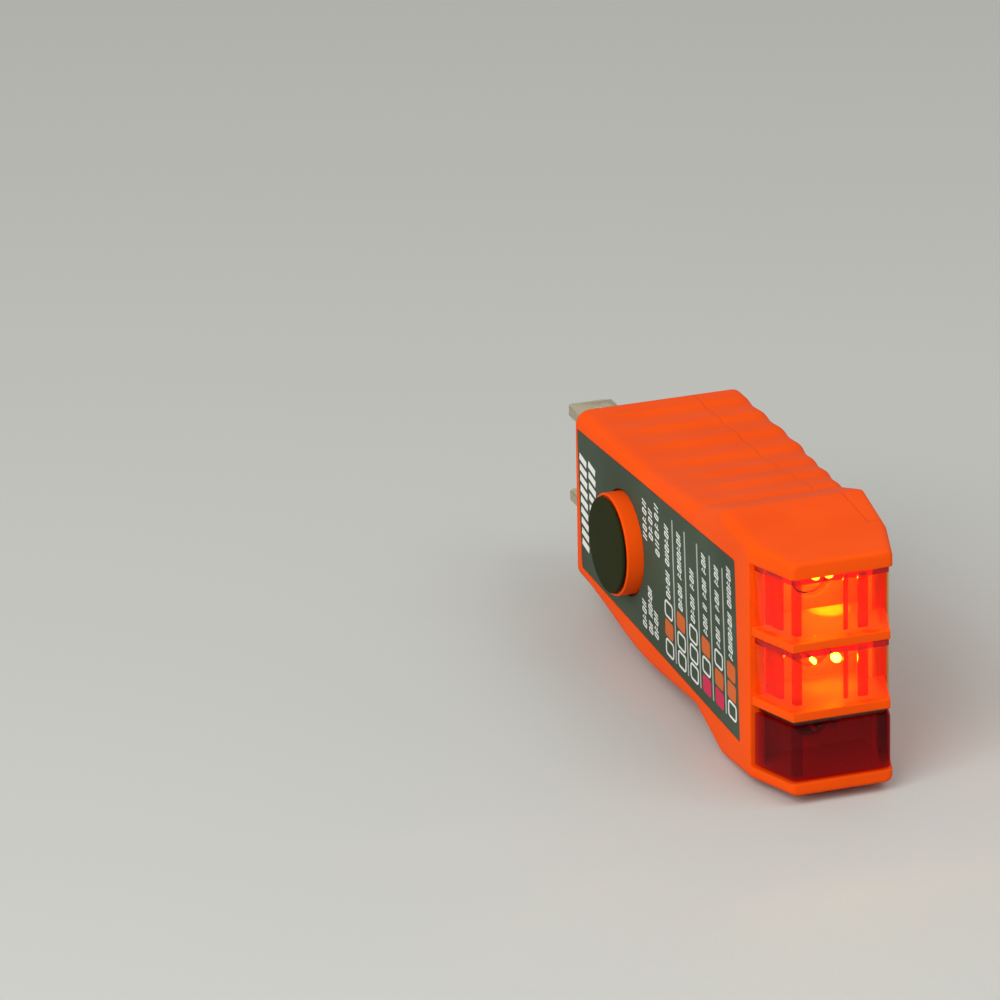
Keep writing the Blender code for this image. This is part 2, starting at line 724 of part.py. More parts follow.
def buildButton():
    axis = alongX(-BUTTON_PLACE, 0.0)
    top = LABEL_X - BUTTON_PROUD
    insertRadius = BUTTON_RADIUS - INSERT_RIM - GAP
    insertTop = top - INSERT_PROUD
    recess = insertTop + INSERT_THICKNESS + GAP
    profile = (
        (recess, 0.0),
        (recess, BUTTON_RADIUS - INSERT_RIM),
        (top, BUTTON_RADIUS - INSERT_RIM),
        (top, BUTTON_RADIUS),
        (FLANGE_X, BUTTON_RADIUS),
        (FLANGE_X, FLANGE_RADIUS),
        (FLANGE_END_X, FLANGE_RADIUS),
        (FLANGE_END_X, STEM_RADIUS),
        (BRIDGE_X - GAP, STEM_RADIUS),
        (BRIDGE_X - GAP, 0.0),
    )
    smoothRound(solid("button_cap", turned(profile, axis, 40), ORANGE))

    dark = ((0.03, 0.03, 0.015), 0.45)
    profile = (
        (insertTop, 0.0),
        (insertTop, 0.9 * insertRadius),
        (insertTop + 0.35 * INSERT_THICKNESS, insertRadius),
        (insertTop + INSERT_THICKNESS, insertRadius),
        (insertTop + INSERT_THICKNESS, 0.0),
    )
    smoothRound(solid("button_insert", turned(profile, axis, 40), dark))

    brass = ((0.75, 0.55, 0.22), 0.3, 1.0)
    low = (BRIDGE_X, -BUTTON_PLACE - BRIDGE_WIDTH / 2, -BRIDGE_LENGTH / 2)
    high = (BRIDGE_X + BRIDGE_THICKNESS, -BUTTON_PLACE + BRIDGE_WIDTH / 2, BRIDGE_LENGTH / 2)
    solid("contact_bridge", box(low, high), brass)
    profile = (
        (PAD_TOP_X, 0.7 * PAD_RADIUS),
        (PAD_TOP_X + 0.3 * PAD_HEIGHT, PAD_RADIUS),
        (BOARD_X - GAP, PAD_RADIUS),
    )
    for name, z in (("line", PAD_SPREAD), ("ground", -PAD_SPREAD)):
        pad = turned(profile, alongX(-BUTTON_PLACE, z), 16)
        smoothRound(solid(f"contact_pad_{name}", pad, brass))


def buildSpring():
    start = FLANGE_END_X + GAP + SPRING_WIRE
    end = BOARD_X - GAP - SPRING_WIRE
    steps = SPRING_TURNS * 14
    points = []
    for k in range(steps + 1):
        t = k / steps
        angle = 2 * math.pi * SPRING_TURNS * t
        y = -BUTTON_PLACE + SPRING_RADIUS * math.cos(angle)
        points.append((start + (end - start) * t, y, SPRING_RADIUS * math.sin(angle)))
    steel = ((0.6, 0.6, 0.62), 0.3, 1.0)
    smoothRound(solid("button_spring", tube(points, [SPRING_WIRE] * len(points), 8), steel), 60)


# Board, resistors and wires

def boardHalf(start, end):
    return smallestHeight(start, end) - WALL - BOARD_EDGE_GAP


def buildBoard():
    """Narrow between the grip's sides and wider in the head, where the lamps' leads land."""
    step = GRIP_LENGTH + WALL + BOARD_EDGE_GAP
    narrow, wide = boardHalf(BOARD_START, BOARD_END), boardHalf(step, BOARD_END)
    side = [(BOARD_START, narrow), (step, narrow), (step, wide), (BOARD_END, wide)]
    outline = side + [(s, -z) for s, z in reversed(side)]
    panel = prism(outline, BOARD_X, BOARD_X + BOARD_THICKNESS, labelPlace)
    board = solid("circuit_board", panel, ((0.03, 0.22, 0.08), 0.5))
    radius = BOSS_RADIUS + GAP
    ends = ((BOARD_X - 1 * MM, radius), (BOARD_X + BOARD_THICKNESS + 1 * MM, radius))
    for name, z in screwSides():
        hole = turned(ends, alongX(-SCREW_PLACE, z), 20)
        combine(board, "DIFFERENCE", solid(f"cut_board_{name}", hole))


def resistor(name, ends, surface, outward, size, colour):
    """Body on bent leads between two (s, z) ends; outward is the board's side along X."""
    radius, length = size
    lift = surface + outward * (radius + GAP)
    foot = surface + outward * GAP
    a, b = (Vector((lift, -s, z)) for s, z in ends)
    along = (b - a).normalized()
    middle = (a + b) / 2
    shoulder = 0.08 * length
    step = 0.001 * MM
    half = (
        (length / 2 - step, 0.7 * radius),
        (length / 2 - shoulder, radius),
        (length / 2 - 2.5 * shoulder, 0.9 * radius),
    )
    body = [(middle - along * reach, size) for reach, size in half]
    body += [(middle + along * reach, size) for reach, size in reversed(half)]
    near, far = middle - along * (length / 2), middle + along * (length / 2)
    first = bendPath(((foot, a.y, a.z), a, near), 0.8 * MM, 2)
    last = bendPath((far, b, (foot, b.y, b.z)), 0.8 * MM, 2)
    points = first + [point for point, _ in body] + last
    thin = LEAD_RADIUS
    radii = [thin] * len(first) + [size for _, size in body] + [thin] * len(last)
    smoothRound(solid(name, tube(points, radii, 10), colour), 35)


def buildResistors():
    tan = ((0.72, 0.55, 0.34), 0.5)
    blue = ((0.12, 0.3, 0.5), 0.5)
    start = SCREW_PLACE + BOSS_RADIUS + BOSS_SHOULDER + GAP + 1 * MM
    small = (RESISTOR_RADIUS, RESISTOR_LENGTH)
    for name, step in (("upper", 1), ("middle", 0), ("lower", -1)):
        z = step * RESISTOR_SPACING
        ends = ((start, z), (start + RESISTOR_SPAN, z))
        resistor(f"lamp_resistor_{name}", ends, BOARD_X, -1, small, tan)
    back = BOARD_X + BOARD_THICKNESS
    reach = TEST_RESISTOR_SPAN / 2
    ends = ((SCREW_PLACE - reach, 0.0), (SCREW_PLACE + reach, 0.0))
    resistor("test_resistor", ends, back, 1, (TEST_RESISTOR_RADIUS, TEST_RESISTOR_LENGTH), blue)


def wire(name, points, colour):
    path = bendPath(points, 2.5 * MM, 5)
    smoothRound(solid(name, tube(path, [WIRE_RADIUS] * len(path), 10), colour), 60)


def buildWires():
    start = -(PRONG_END + GAP)
    landing = -(BOARD_START + 2.5 * MM)
    edge = boardHalf(BOARD_START, BOARD_END) - WIRE_RADIUS - GAP
    black, white = (0.01, 0.01, 0.01), (0.8, 0.8, 0.78)
    for name, sign, colour in (("hot", 1, black), ("neutral", -1, white)):
        z = sign * BLADE_SPACING / 2
        points = (
            (BLADE_X, start, z),
            (BLADE_X, start - WIRE_LEAD_OUT, z),
            (BLADE_X, landing, sign * edge),
            (BOARD_X - GAP, landing, sign * edge),
        )
        wire(f"wire_{name}", points, (colour, 0.4))
    back = BOARD_X + BOARD_THICKNESS + GAP
    points = ((GROUND_X, start, 0.0), (GROUND_X, landing, 0.0), (back, landing, 0.0))
    wire("wire_ground", points, ((0.05, 0.4, 0.12), 0.4))


# Prongs and their block

def buildProngs():
    brass = ((0.78, 0.68, 0.45), 0.25, 1.0)
    taper = 1.5 * MM
    for name, sign in (("hot", 1), ("neutral", -1)):
        z = sign * BLADE_SPACING / 2
        rings = []
        for y, narrow, thin in (
            (-PRONG_END, 0.0, 0.0),
            (BLADE_LENGTH - taper, 0.0, 0.0),
            (BLADE_LENGTH, 0.8 * MM, 0.4 * MM),
        ):
            halfWidth, halfThick = BLADE_WIDTH / 2 - narrow, BLADE_THICKNESS / 2 - thin
            corners = ((-1, -1), (1, -1), (1, 1), (-1, 1))
            rings.append([Vector((BLADE_X + i * halfWidth, y, z + k * halfThick)) for i, k in corners])
        blade = solid(f"blade_{name}", loft(rings), brass)
        hole = turned(
            ((z - 2 * MM, BLADE_HOLE_RADIUS), (z + 2 * MM, BLADE_HOLE_RADIUS)),
            lambda h, u, v: Vector((BLADE_X + u, BLADE_HOLE_PLACE + v, h)),
            20,
        )
        combine(blade, "DIFFERENCE", solid(f"cut_blade_hole_{name}", hole))
    profile = (
        (-PRONG_END, SHANK_RADIUS),
        (-WALL, SHANK_RADIUS),
        (-WALL, GROUND_RADIUS),
        (GROUND_LENGTH - GROUND_RADIUS, GROUND_RADIUS),
        (GROUND_LENGTH - 0.45 * GROUND_RADIUS, 0.84 * GROUND_RADIUS),
        (GROUND_LENGTH - 0.12 * GROUND_RADIUS, 0.48 * GROUND_RADIUS),
        (GROUND_LENGTH, 0.0),
    )
    smoothRound(solid("ground_pin", turned(profile, alongY(GROUND_X, 0.0), 24), brass), 60)


def buildBlock():
    reach = smallestHeight(BLOCK_START, BLOCK_END) - WALL - BLOCK_EDGE_GAP
    low = (LABEL_X + WALL + BLOCK_EDGE_GAP, -BLOCK_END, -reach)
    high = (LABEL_X + BODY_DEPTH - WALL - GAP, -BLOCK_START, reach)
    block = solid("prong_block", box(low, high), ((0.03, 0.03, 0.03), 0.5))
    for name in ("hot", "neutral"):
        combine(block, "DIFFERENCE", bpy.data.objects[f"cut_blade_{name}"])
    radius = SHANK_RADIUS + GAP
    ends = ((-BLOCK_END - 1 * MM, radius), (-BLOCK_START + 1 * MM, radius))
    hole = turned(ends, alongY(GROUND_X, 0.0), 20)
    combine(block, "DIFFERENCE", solid("cut_shank", hole))


def main():
    clearScene()
    buildCase()
    buildScrews()
    buildLabel()
    buildLenses()
    buildLamps()
    buildButton()
    buildSpring()
    buildBoard()
    buildResistors()
    buildWires()
    buildProngs()
    buildBlock()


main()
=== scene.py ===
import math

import bmesh
import bpy
from mathutils import Matrix, Vector


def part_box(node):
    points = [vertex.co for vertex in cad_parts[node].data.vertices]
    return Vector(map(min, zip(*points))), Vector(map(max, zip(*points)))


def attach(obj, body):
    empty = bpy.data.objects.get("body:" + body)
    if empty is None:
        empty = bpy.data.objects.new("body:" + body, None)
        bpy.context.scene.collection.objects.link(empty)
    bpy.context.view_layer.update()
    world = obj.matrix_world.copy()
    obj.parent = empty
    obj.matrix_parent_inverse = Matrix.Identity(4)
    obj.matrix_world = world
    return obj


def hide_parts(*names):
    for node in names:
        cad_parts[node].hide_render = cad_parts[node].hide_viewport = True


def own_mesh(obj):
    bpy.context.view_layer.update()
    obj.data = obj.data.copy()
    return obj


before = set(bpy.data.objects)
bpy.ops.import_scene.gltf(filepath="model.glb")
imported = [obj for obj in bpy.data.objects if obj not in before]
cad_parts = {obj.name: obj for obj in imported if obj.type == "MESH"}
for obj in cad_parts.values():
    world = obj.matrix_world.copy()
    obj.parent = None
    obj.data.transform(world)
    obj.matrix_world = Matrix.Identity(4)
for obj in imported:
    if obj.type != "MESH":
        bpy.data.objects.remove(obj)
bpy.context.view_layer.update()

mm = 0.001
gap = 0.3 * mm  # clearance that the fixed frame keeps between its pieces
bodyName = "tester_body"
buttonName = "test_button"


class Graph:  # a node tree that nodes are added to
    def __init__(self, tree):
        self.tree = tree

    def add(self, kind, settings=None, sockets=None, out=0):
        made = self.tree.nodes.new(kind)
        for key, value in (settings or {}).items():
            setattr(made, key, value)
        for key, value in (sockets or {}).items():
            if isinstance(value, Term):
                self.tree.links.new(value.socket, made.inputs[key])
            else:
                made.inputs[key].default_value = value
        return Term(self, made, out)

    def place(self):  # where a point is on its piece, in metres
        return self.add("ShaderNodeTexCoord", out="Object")

    def mixColour(self, factor, first, second):
        values = {0: factor, 6: wide(first), 7: wide(second)}
        return self.add("ShaderNodeMix", {"data_type": "RGBA"}, values, 2)

    def noise(self, where, size, detail=2.0, roughness=0.5):  # size of a patch in metres
        sockets = {"Vector": where, "Scale": 1 / size, "Detail": detail, "Roughness": roughness}
        return self.add("ShaderNodeTexNoise", None, sockets)

    def softNormal(self, radius, samples):
        return self.add("ShaderNodeBevel", {"samples": samples}, {"Radius": radius})

    def bump(self, strength, distance, height, normal=None):
        sockets = {"Strength": strength, "Distance": distance, "Height": height}
        if normal is not None:
            sockets["Normal"] = normal
        return self.add("ShaderNodeBump", None, sockets)

    def mixShader(self, factor, first, second):
        return self.add("ShaderNodeMixShader", None, {0: factor, 1: first, 2: second})

    def split(self, vector):
        first = self.add("ShaderNodeSeparateXYZ", None, {0: vector})
        return first, first.other(1), first.other(2)

    def feed(self, node, links):
        for key, term in links.items():
            self.tree.links.new(term.socket, node.inputs[key])


class Term:  # a node's output, used in sums
    def __init__(self, graph, node, out=0):
        self.graph = graph
        self.node = node
        self.socket = node.outputs[out]

    def other(self, out):
        return Term(self.graph, self.node, out)

    def math(self, operation, *values):
        sockets = dict(enumerate(values))
        return self.graph.add("ShaderNodeMath", {"operation": operation}, sockets)

    def __add__(self, value):
        return self.math("ADD", self, value)

    def __radd__(self, value):
        return self.math("ADD", value, self)

    def __sub__(self, value):
        return self.math("SUBTRACT", self, value)

    def __rsub__(self, value):
        return self.math("SUBTRACT", value, self)

    def __mul__(self, value):
        return self.math("MULTIPLY", self, value)

    def __truediv__(self, value):
        return self.math("DIVIDE", self, value)

    def __neg__(self):
        return self.math("MULTIPLY", self, -1.0)

    def __abs__(self):
        return self.math("ABSOLUTE", self)

    def __gt__(self, value):
        return self.math("GREATER_THAN", self, value)

    def __lt__(self, value):
        return self.math("LESS_THAN", self, value)

    def fraction(self):
        return self.math("FRACT", self)

    def sign(self):
        return self.math("SIGN", self)

    def smooth(self, low, high):  # 0 below low, 1 above high
        settings = {"interpolation_type": "SMOOTHSTEP"}
        return self.graph.add("ShaderNodeMapRange", settings, {0: self, 1: low, 2: high})


def wide(colour):
    return colour if isinstance(colour, Term) or len(colour) == 4 else (*colour, 1.0)


def dimmed(colour, share):
    return tuple(share * value for value in colour)


def newMaterial(name, constants):
    made = bpy.data.materials.new(name)
    made.use_nodes = True
    shader = made.node_tree.nodes["Principled BSDF"]
    for key, value in constants.items():
        shader.inputs[key].default_value = value
    return made, Graph(made.node_tree), shader


def mouldedPlastic(name, look):
    made, graph, shader = newMaterial(name, {"Specular IOR Level": 0.05})
    where = graph.place()
    cloud = graph.noise(where, 14 * mm, 3.0)
    grain = graph.noise(where, look["grain"], 2.0, 0.6)
    soft = graph.softNormal(look["edge"], 6)
    flat = graph.add("ShaderNodeNewGeometry", out="Normal")
    facing = {"operation": "DOT_PRODUCT"}
    turn = graph.add("ShaderNodeVectorMath", facing, {0: soft, 1: flat}, "Value")
    edge = (1.0 - turn).smooth(0.01, 0.3)
    worn = edge * (0.35 + graph.noise(where, 2.5 * mm) * 0.65) * look["wear"]
    body = graph.mixColour(cloud.smooth(0.3, 0.7), look["colour"], look["second"])
    colour = graph.mixColour(worn, body, look["worn"])
    rough = look["rough"] + (grain - 0.5) * 0.12 + (cloud - 0.5) * 0.1 - worn * 0.12
    bump = graph.bump(look["bump"], 0.02 * mm, grain, soft)
    graph.feed(shader, {"Base Color": colour, "Roughness": rough, "Normal": bump})
    return made


def metal(name, look):
    made, graph, shader = newMaterial(name, {"Metallic": 1.0})
    where = graph.place()
    stretch = graph.add("ShaderNodeMapping", None, {"Vector": where, "Scale": look["stretch"]})
    brushed = graph.noise(stretch, 0.12 * mm, 3.0, 0.7)
    cloud = graph.noise(where, 4 * mm, 3.0)
    colour = graph.mixColour(cloud.smooth(0.35, 0.7), look["colour"], look["second"])
    rough = look["rough"] + (brushed - 0.5) * 0.22 + (cloud - 0.5) * 0.12
    bump = graph.bump(0.25, 0.01 * mm, brushed)
    graph.feed(shader, {"Base Color": colour, "Roughness": rough, "Normal": bump})
    return made


plasticIndex = 1.49  # how strongly clear plastic bends light


def clearPlastic(name, look):  # clear walls that colour the light by how far it goes through them
    made, graph, shader = newMaterial(name, {"IOR": plasticIndex})
    where = graph.place()
    cloud = graph.noise(where, 3 * mm)
    dust = graph.noise(where, 0.25 * mm, 3.0, 0.7).smooth(0.6, 0.8)
    bump = graph.bump(0.12, 0.05 * mm, cloud, graph.softNormal(0.2 * mm, 4))
    colour = graph.mixColour(cloud.smooth(0.3, 0.7), look["colour"], look["second"])
    graph.feed(shader, {"Base Color": colour, "Roughness": 0.05 + dust * 0.2, "Normal": bump})
    clear = graph.add("ShaderNodeBsdfTransparent", None, {"Color": wide(look["tint"])})
    tinted = graph.mixShader(look["body"] + dust * 0.03, clear, Term(graph, shader))
    mirror = graph.add("ShaderNodeBsdfAnisotropic", None, {"Roughness": 0.05, "Normal": bump})
    outside = 1.0 - graph.add("ShaderNodeNewGeometry", out="Backfacing")
    fresnel = graph.add("ShaderNodeFresnel", None, {"IOR": plasticIndex, "Normal": bump})
    surface = graph.mixShader(fresnel * outside * look["gloss"], tinted, mirror)
    depth = {"Color": wide(look["inside"]), "Density": look["density"]}
    inside = graph.add("ShaderNodeVolumeAbsorption", None, depth)
    graph.feed(made.node_tree.nodes["Material Output"], {"Surface": surface, "Volume": inside})
    return made


orangeLook = {
    "colour": (0.88, 0.083, 0.003),
    "second": (0.84, 0.074, 0.002),
    "worn": (0.90, 0.15, 0.02),
    "rough": 0.50,
    "grain": 0.16 * mm,
    "bump": 0.18,
    "edge": 0.28 * mm,
    "wear": 0.35,
}
labelLook = {
    "colour": (0.062, 0.084, 0.056),
    "second": (0.046, 0.064, 0.042),
    "worn": (0.16, 0.18, 0.15),
    "rough": 0.55,
    "grain": 0.10 * mm,
    "bump": 0.08,
    "edge": 0.12 * mm,
    "wear": 0.3,
}
insertLook = {
    "colour": (0.019, 0.022, 0.006),
    "second": (0.024, 0.026, 0.009),
    "worn": (0.08, 0.08, 0.04),
    "rough": 0.70,
    "grain": 0.12 * mm,
    "bump": 0.2,
    "edge": 0.2 * mm,
    "wear": 0.4,
}
blockLook = {**insertLook, "colour": (0.02, 0.02, 0.022), "second": (0.03, 0.03, 0.03)}
whiteInk = {
    "colour": (0.78, 0.79, 0.75),
    "second": (0.68, 0.69, 0.65),
    "worn": (0.5, 0.5, 0.46),
    "rough": 0.5,
    "grain": 0.1 * mm,
    "bump": 0.05,
    "edge": 0.02 * mm,
    "wear": 0.2,
}
ruleInk = {**whiteInk, "colour": (0.40, 0.43, 0.38), "second": (0.33, 0.36, 0.31)}
orangeInk = {**whiteInk, "colour": (0.62, 0.13, 0.030), "second": (0.56, 0.115, 0.025)}
redInk = {**whiteInk, "colour": (0.60, 0.032, 0.085), "second": (0.54, 0.028, 0.075)}
brassLook = {
    "colour": (0.80, 0.69, 0.46),
    "second": (0.74, 0.62, 0.40),
    "rough": 0.28,
    "stretch": (1.0, 0.05, 1.0),
}
contactLook = {**brassLook, "colour": (0.78, 0.56, 0.24), "second": (0.70, 0.49, 0.2)}
steelLook = {
    "colour": (0.60, 0.60, 0.61),
    "second": (0.52, 0.52, 0.53),
    "rough": 0.32,
    "stretch": (1.0, 1.0, 1.0),
}
amberLook = {
    "colour": (0.9, 0.12, 0.01),
    "second": (0.95, 0.18, 0.02),
    "tint": (1.0, 0.95, 0.86),
    "body": 0.03,
    "gloss": 0.4,
    "inside": (0.99, 0.80, 0.30),
    "density": 900.0,
}
ribLook = {
    "colour": (0.55, 0.008, 0.010),
    "second": (0.70, 0.014, 0.014),
    "tint": (0.80, 0.20, 0.26),
    "body": 0.20,
    "gloss": 0.5,
    "inside": (0.95, 0.40, 0.20),
    "density": 400.0,
}
redLook = {
    "colour": (0.20, 0.002, 0.010),
    "second": (0.26, 0.003, 0.014),
    "tint": (0.92, 0.50, 0.56),
    "body": 0.07,
    "gloss": 0.22,
    "inside": (0.84, 0.05, 0.12),
    "density": 1600.0,
}
glassLook = {
    "colour": (0.9, 0.85, 0.8),
    "second": (0.95, 0.9, 0.85),
    "tint": (1.0, 0.99, 0.97),
    "body": 0.0,
    "gloss": 0.3,
    "inside": (1.0, 0.97, 0.92),
    "density": 60.0,
}
# painted shade: a dark brown, nearly opaque copy of the red lens for its set-back ledge, so the
# strip reads as a shadowed gap under the bar
paintedShadeLedgeLook = {
    **redLook,
    "colour": (0.07, 0.016, 0.004),
    "second": (0.10, 0.022, 0.006),
    "body": 0.65,
}

orange = mouldedPlastic("orangeShell", orangeLook)
labelPaint = mouldedPlastic("labelPanel", labelLook)
insertPlastic = mouldedPlastic("buttonInsertPlastic", insertLook)
blockPlastic = mouldedPlastic("prongBlockPlastic", blockLook)
prongMetal = metal("prongMetal", brassLook)
contactMetal = metal("contactMetal", contactLook)
screwSteel = metal("screwSteel", steelLook)
amberPlastic = clearPlastic("amberLens", amberLook)
redPlastic = clearPlastic("redLens", redLook)
ribPlastic = clearPlastic("amberRibs", ribLook)
paintedShadeLedgePlastic = clearPlastic("redLedge", paintedShadeLedgeLook)
lampGlass = clearPlastic("lampGlass", glassLook)
print("finishes made")


def newObject(name, data, *materials):
    made = bpy.data.objects.new(name, data)
    bpy.context.scene.collection.objects.link(made)
    for material in materials:
        data.materials.append(material)
    return made


def fromBmesh(name, build, *materials):
    bmesh.ops.recalc_face_normals(build, faces=build.faces)
    mesh = bpy.data.meshes.new(name)
    build.to_mesh(mesh)
    build.free()
    return newObject(name, mesh, *materials)


def loft(rings):  # closed body through rings of equal counts
    build = bmesh.new()
    loops = [[build.verts.new(point) for point in ring] for ring in rings]
    count = len(loops[0])
    for near, far in zip(loops, loops[1:]):
        for i in range(count):
            j = (i + 1) % count
            build.faces.new((near[i], near[j], far[j], far[i]))
    build.faces.new(list(reversed(loops[0])))
    build.faces.new(loops[-1])
    return build


def prism(outline, low, high, place):
    return loft([[place(a, b, c) for a, b in outline] for c in (low, high)])


def asGiven(a, b, c):
    return Vector((a, b, c))


def box(low, high):
    corners = ((low[0], low[1]), (high[0], low[1]), (high[0], high[1]), (low[0], high[1]))
    return prism(corners, low[2], high[2], asGiven)


def joined(parts):
    build = bmesh.new()
    for part in parts:
        mesh = bpy.data.meshes.new("part")
        part.to_mesh(mesh)
        part.free()
        build.from_mesh(mesh)
        bpy.data.meshes.remove(mesh)
    return build


def turned(profile, place, sides=96):  # (height, radius) pairs, a radius of zero is a pole
    build = bmesh.new()
    rows = []
    for height, radius in profile:
        row = []
        for i in range(sides if radius > 0 else 1):
            angle = 2 * math.pi * i / sides
            point = place(height, radius * math.cos(angle), radius * math.sin(angle))
            row.append(build.verts.new(point))
        rows.append(row)
    for near, far in zip(rows, rows[1:]):
        for i in range(sides):
            j = (i + 1) % sides
            pairs = ((near, i), (near, j), (far, j), (far, i))
            unique = list(dict.fromkeys(row[k % len(row)] for row, k in pairs))
            if len(unique) > 2:
                build.faces.new(unique)
    for row in (rows[0], rows[-1]):
        if len(row) > 1:
            build.faces.new(row)
    return build


def cylinder(name, low, high, radius, place, sides=48):
    return fromBmesh(name, turned(((low, radius), (high, radius)), place, sides))


def dome(height, reach, radius, steps):  # quarter round from an edge at height to a pole
    turns = [math.pi / 2 * k / steps for k in range(1, steps)]
    path = [(height + reach * math.sin(turn), radius * math.cos(turn)) for turn in turns]
    return path + [(height + reach, 0.0)]


def alongX(y, z):
    return lambda h, u, v: Vector((h, y + u, z + v))


def alongY(x, z):
    return lambda h, u, v: Vector((x + u, h, z + v))


def rounded(profile, radius, steps=5):  # rounds the inner corners of an open line of pairs
    points = [Vector(pair) for pair in profile]
    path = [points[0]]
    for before, corner, after in zip(points, points[1:], points[2:]):
        toBack, toNext = before - corner, after - corner
        reach = min(radius, 0.45 * toBack.length, 0.45 * toNext.length)
        start = corner + toBack.normalized() * reach
        end = corner + toNext.normalized() * reach
        for k in range(steps + 1):
            t = k / steps
            path.append(start * (1 - t) ** 2 + corner * 2 * t * (1 - t) + end * t * t)
    path.append(points[-1])
    return [tuple(point) for point in path]


def roundedLoop(outline, radius):  # the same for a closed outline
    count = len(outline)
    path = []
    for i, corner in enumerate(outline):
        three = (outline[i - 1], corner, outline[(i + 1) % count])
        path += rounded(three, radius, 4)[1:-1]
    return path


def smoothShade(target, sharp=35):
    target.data.shade_smooth()
    target.data.set_sharp_from_angle(angle=math.radians(sharp))
    return target


def carve(target, operation, *cutters):
    for cutter in cutters:
        step = target.modifiers.new(cutter.name, "BOOLEAN")
        step.operation = operation
        step.solver = "MANIFOLD"
        step.object = cutter


def settle(target):  # modifiers into a plain mesh, gives back the cutters
    graph = bpy.context.evaluated_depsgraph_get()
    mesh = bpy.data.meshes.new_from_object(target.evaluated_get(graph), depsgraph=graph)
    cutters = [step.object for step in target.modifiers if step.type == "BOOLEAN"]
    target.modifiers.clear()
    target.data = mesh
    mesh.name = target.name
    smoothShade(target)
    return cutters


def softenEdges(target, width, segments=2):
    soften = target.modifiers.new("soft edges", "BEVEL")
    soften.width = width
    soften.segments = segments
    soften.limit_method = "ANGLE"
    soften.angle_limit = math.radians(30)


def clearAway(objects):
    for name in {item.name for item in objects}:
        bpy.data.objects.remove(bpy.data.objects[name], do_unlink=True)


def put(piece, body, slot, *nodes):
    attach(piece, body)
    if nodes:
        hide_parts(*nodes)
    return piece


def smoothPiece(name, build, material, sharp, slot, *nodes, body=bodyName):
    put(smoothShade(fromBmesh(name, build, material), sharp), body, slot, *nodes)


def softPiece(name, build, material, width, slot, *nodes, segments=2, body=bodyName):
    piece = fromBmesh(name, build, material)
    softenEdges(piece, width, segments)
    settle(piece)
    put(piece, body, slot, *nodes)


def refined(node, name, width, material, slot, **more):  # the frame's shape with rounded edges
    build = bmesh.new()
    build.from_mesh(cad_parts[node].data)
    bmesh.ops.remove_doubles(build, verts=build.verts, dist=0.002 * mm)
    flat = math.radians(1)
    bmesh.ops.dissolve_limit(build, angle_limit=flat, verts=build.verts, edges=build.edges)
    softPiece(name, build, material, width, slot, node, **more)


def newTree(name, floats, others=None):
    inputs = {**dict.fromkeys(floats, "Float"), **(others or {}), "Material": "Material"}
    tree = bpy.data.node_groups.new(name, "GeometryNodeTree")
    tree.interface.new_socket("Geometry", in_out="INPUT", socket_type="NodeSocketGeometry")
    for label, kind in inputs.items():
        tree.interface.new_socket(label, in_out="INPUT", socket_type=f"NodeSocket{kind}")
    tree.interface.new_socket("Geometry", in_out="OUTPUT", socket_type="NodeSocketGeometry")
    graph = Graph(tree)
    return tree, graph, graph.add("NodeGroupInput")


def endTree(graph, given, shape):
    shape = graph.add("GeometryNodeRealizeInstances", None, {0: shape})
    finish = {"Geometry": shape, "Material": given.other("Material")}
    shape = graph.add("GeometryNodeSetMaterial", None, finish)
    output = graph.tree.nodes.new("NodeGroupOutput")
    graph.tree.links.new(shape.socket, output.inputs[0])


def grow(source, tree, values):  # runs a tree on an object and leaves a plain mesh
    modifier = source.modifiers.new(tree.name, "NODES")
    modifier.node_group = tree
    for item in tree.interface.items_tree:
        if item.in_out == "INPUT" and item.name in values:
            modifier[item.identifier] = values[item.name]
    settle(source)
    return source


def pointsObject(name, points):
    mesh = bpy.data.meshes.new(name)
    mesh.from_pydata([tuple(point) for point in points], [], [])
    return newObject(name, mesh)


def centreOf(node):
    low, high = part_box(node)
    return [(a + b) / 2 for a, b in zip(low, high)]


# places that the fixed frame gives
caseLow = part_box("case_front")[0]
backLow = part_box("case_back")[0]
labelLow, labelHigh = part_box("label_plate")
length = -caseLow.y
labelX = caseLow.x
partingX = backLow.x - gap / 2
backEnd = -backLow.y
_, buttonY, buttonZ = centreOf("button_cap")
buttonAxis = alongX(buttonY, buttonZ)
barCut = 0.55 * mm  # taken off the bar between the two amber windows
lenses = {"upper": "lens_amber_upper", "lower": "lens_amber_lower", "red": "lens_red"}
windows = {}
for name, node in lenses.items():
    low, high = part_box(node)
    windows[name] = (low.z - gap, high.z + gap)
windows["lower"] = (windows["lower"][0], windows["lower"][1] + barCut)

case = {
    "gripLength": 46.4 * mm,
    "headPlace": 55.0 * mm,
    "noseLength": 8.4 * mm,
    "plugHalf": 12.4 * mm,
    "waistHalf": 12.6 * mm,
    "swellHalf": 15.3 * mm,
    "neckHalf": 14.5 * mm,
    "ridgeHalf": 14.8 * mm,
    "headHalf": 17.6 * mm,
    "noseRootHalf": 16.7 * mm,
    "noseHalf": 16.3 * mm,
    "depth": 24.5 * mm,
    "neckDepth": 21.8 * mm,
    "headDepth": 20.7 * mm,
    "noseRootDepth": 19.5 * mm,
    "noseBack": 17.0 * mm,
    "noseSlope": 3.0 * mm,
    "wall": 2.0 * mm,
    "labelEdge": 2.0 * mm,
    "noseRootEdge": 1.4 * mm,
    "backEdge": 1.5 * mm,
    "headEdge": 0.9 * mm,
    "frontEdge": 0.5 * mm,
    "plugEdge": 0.35 * mm,
    "seam": 0.03 * mm,
    "windowSetback": 0.4 * mm,
    "cellDepth": 3.2 * mm,
    "cellSide": 2.2 * mm,
    "bulkhead": 1.4 * mm,
    "lampBore": 2.76 * mm,
    "barRecess": 0.3 * mm,
}
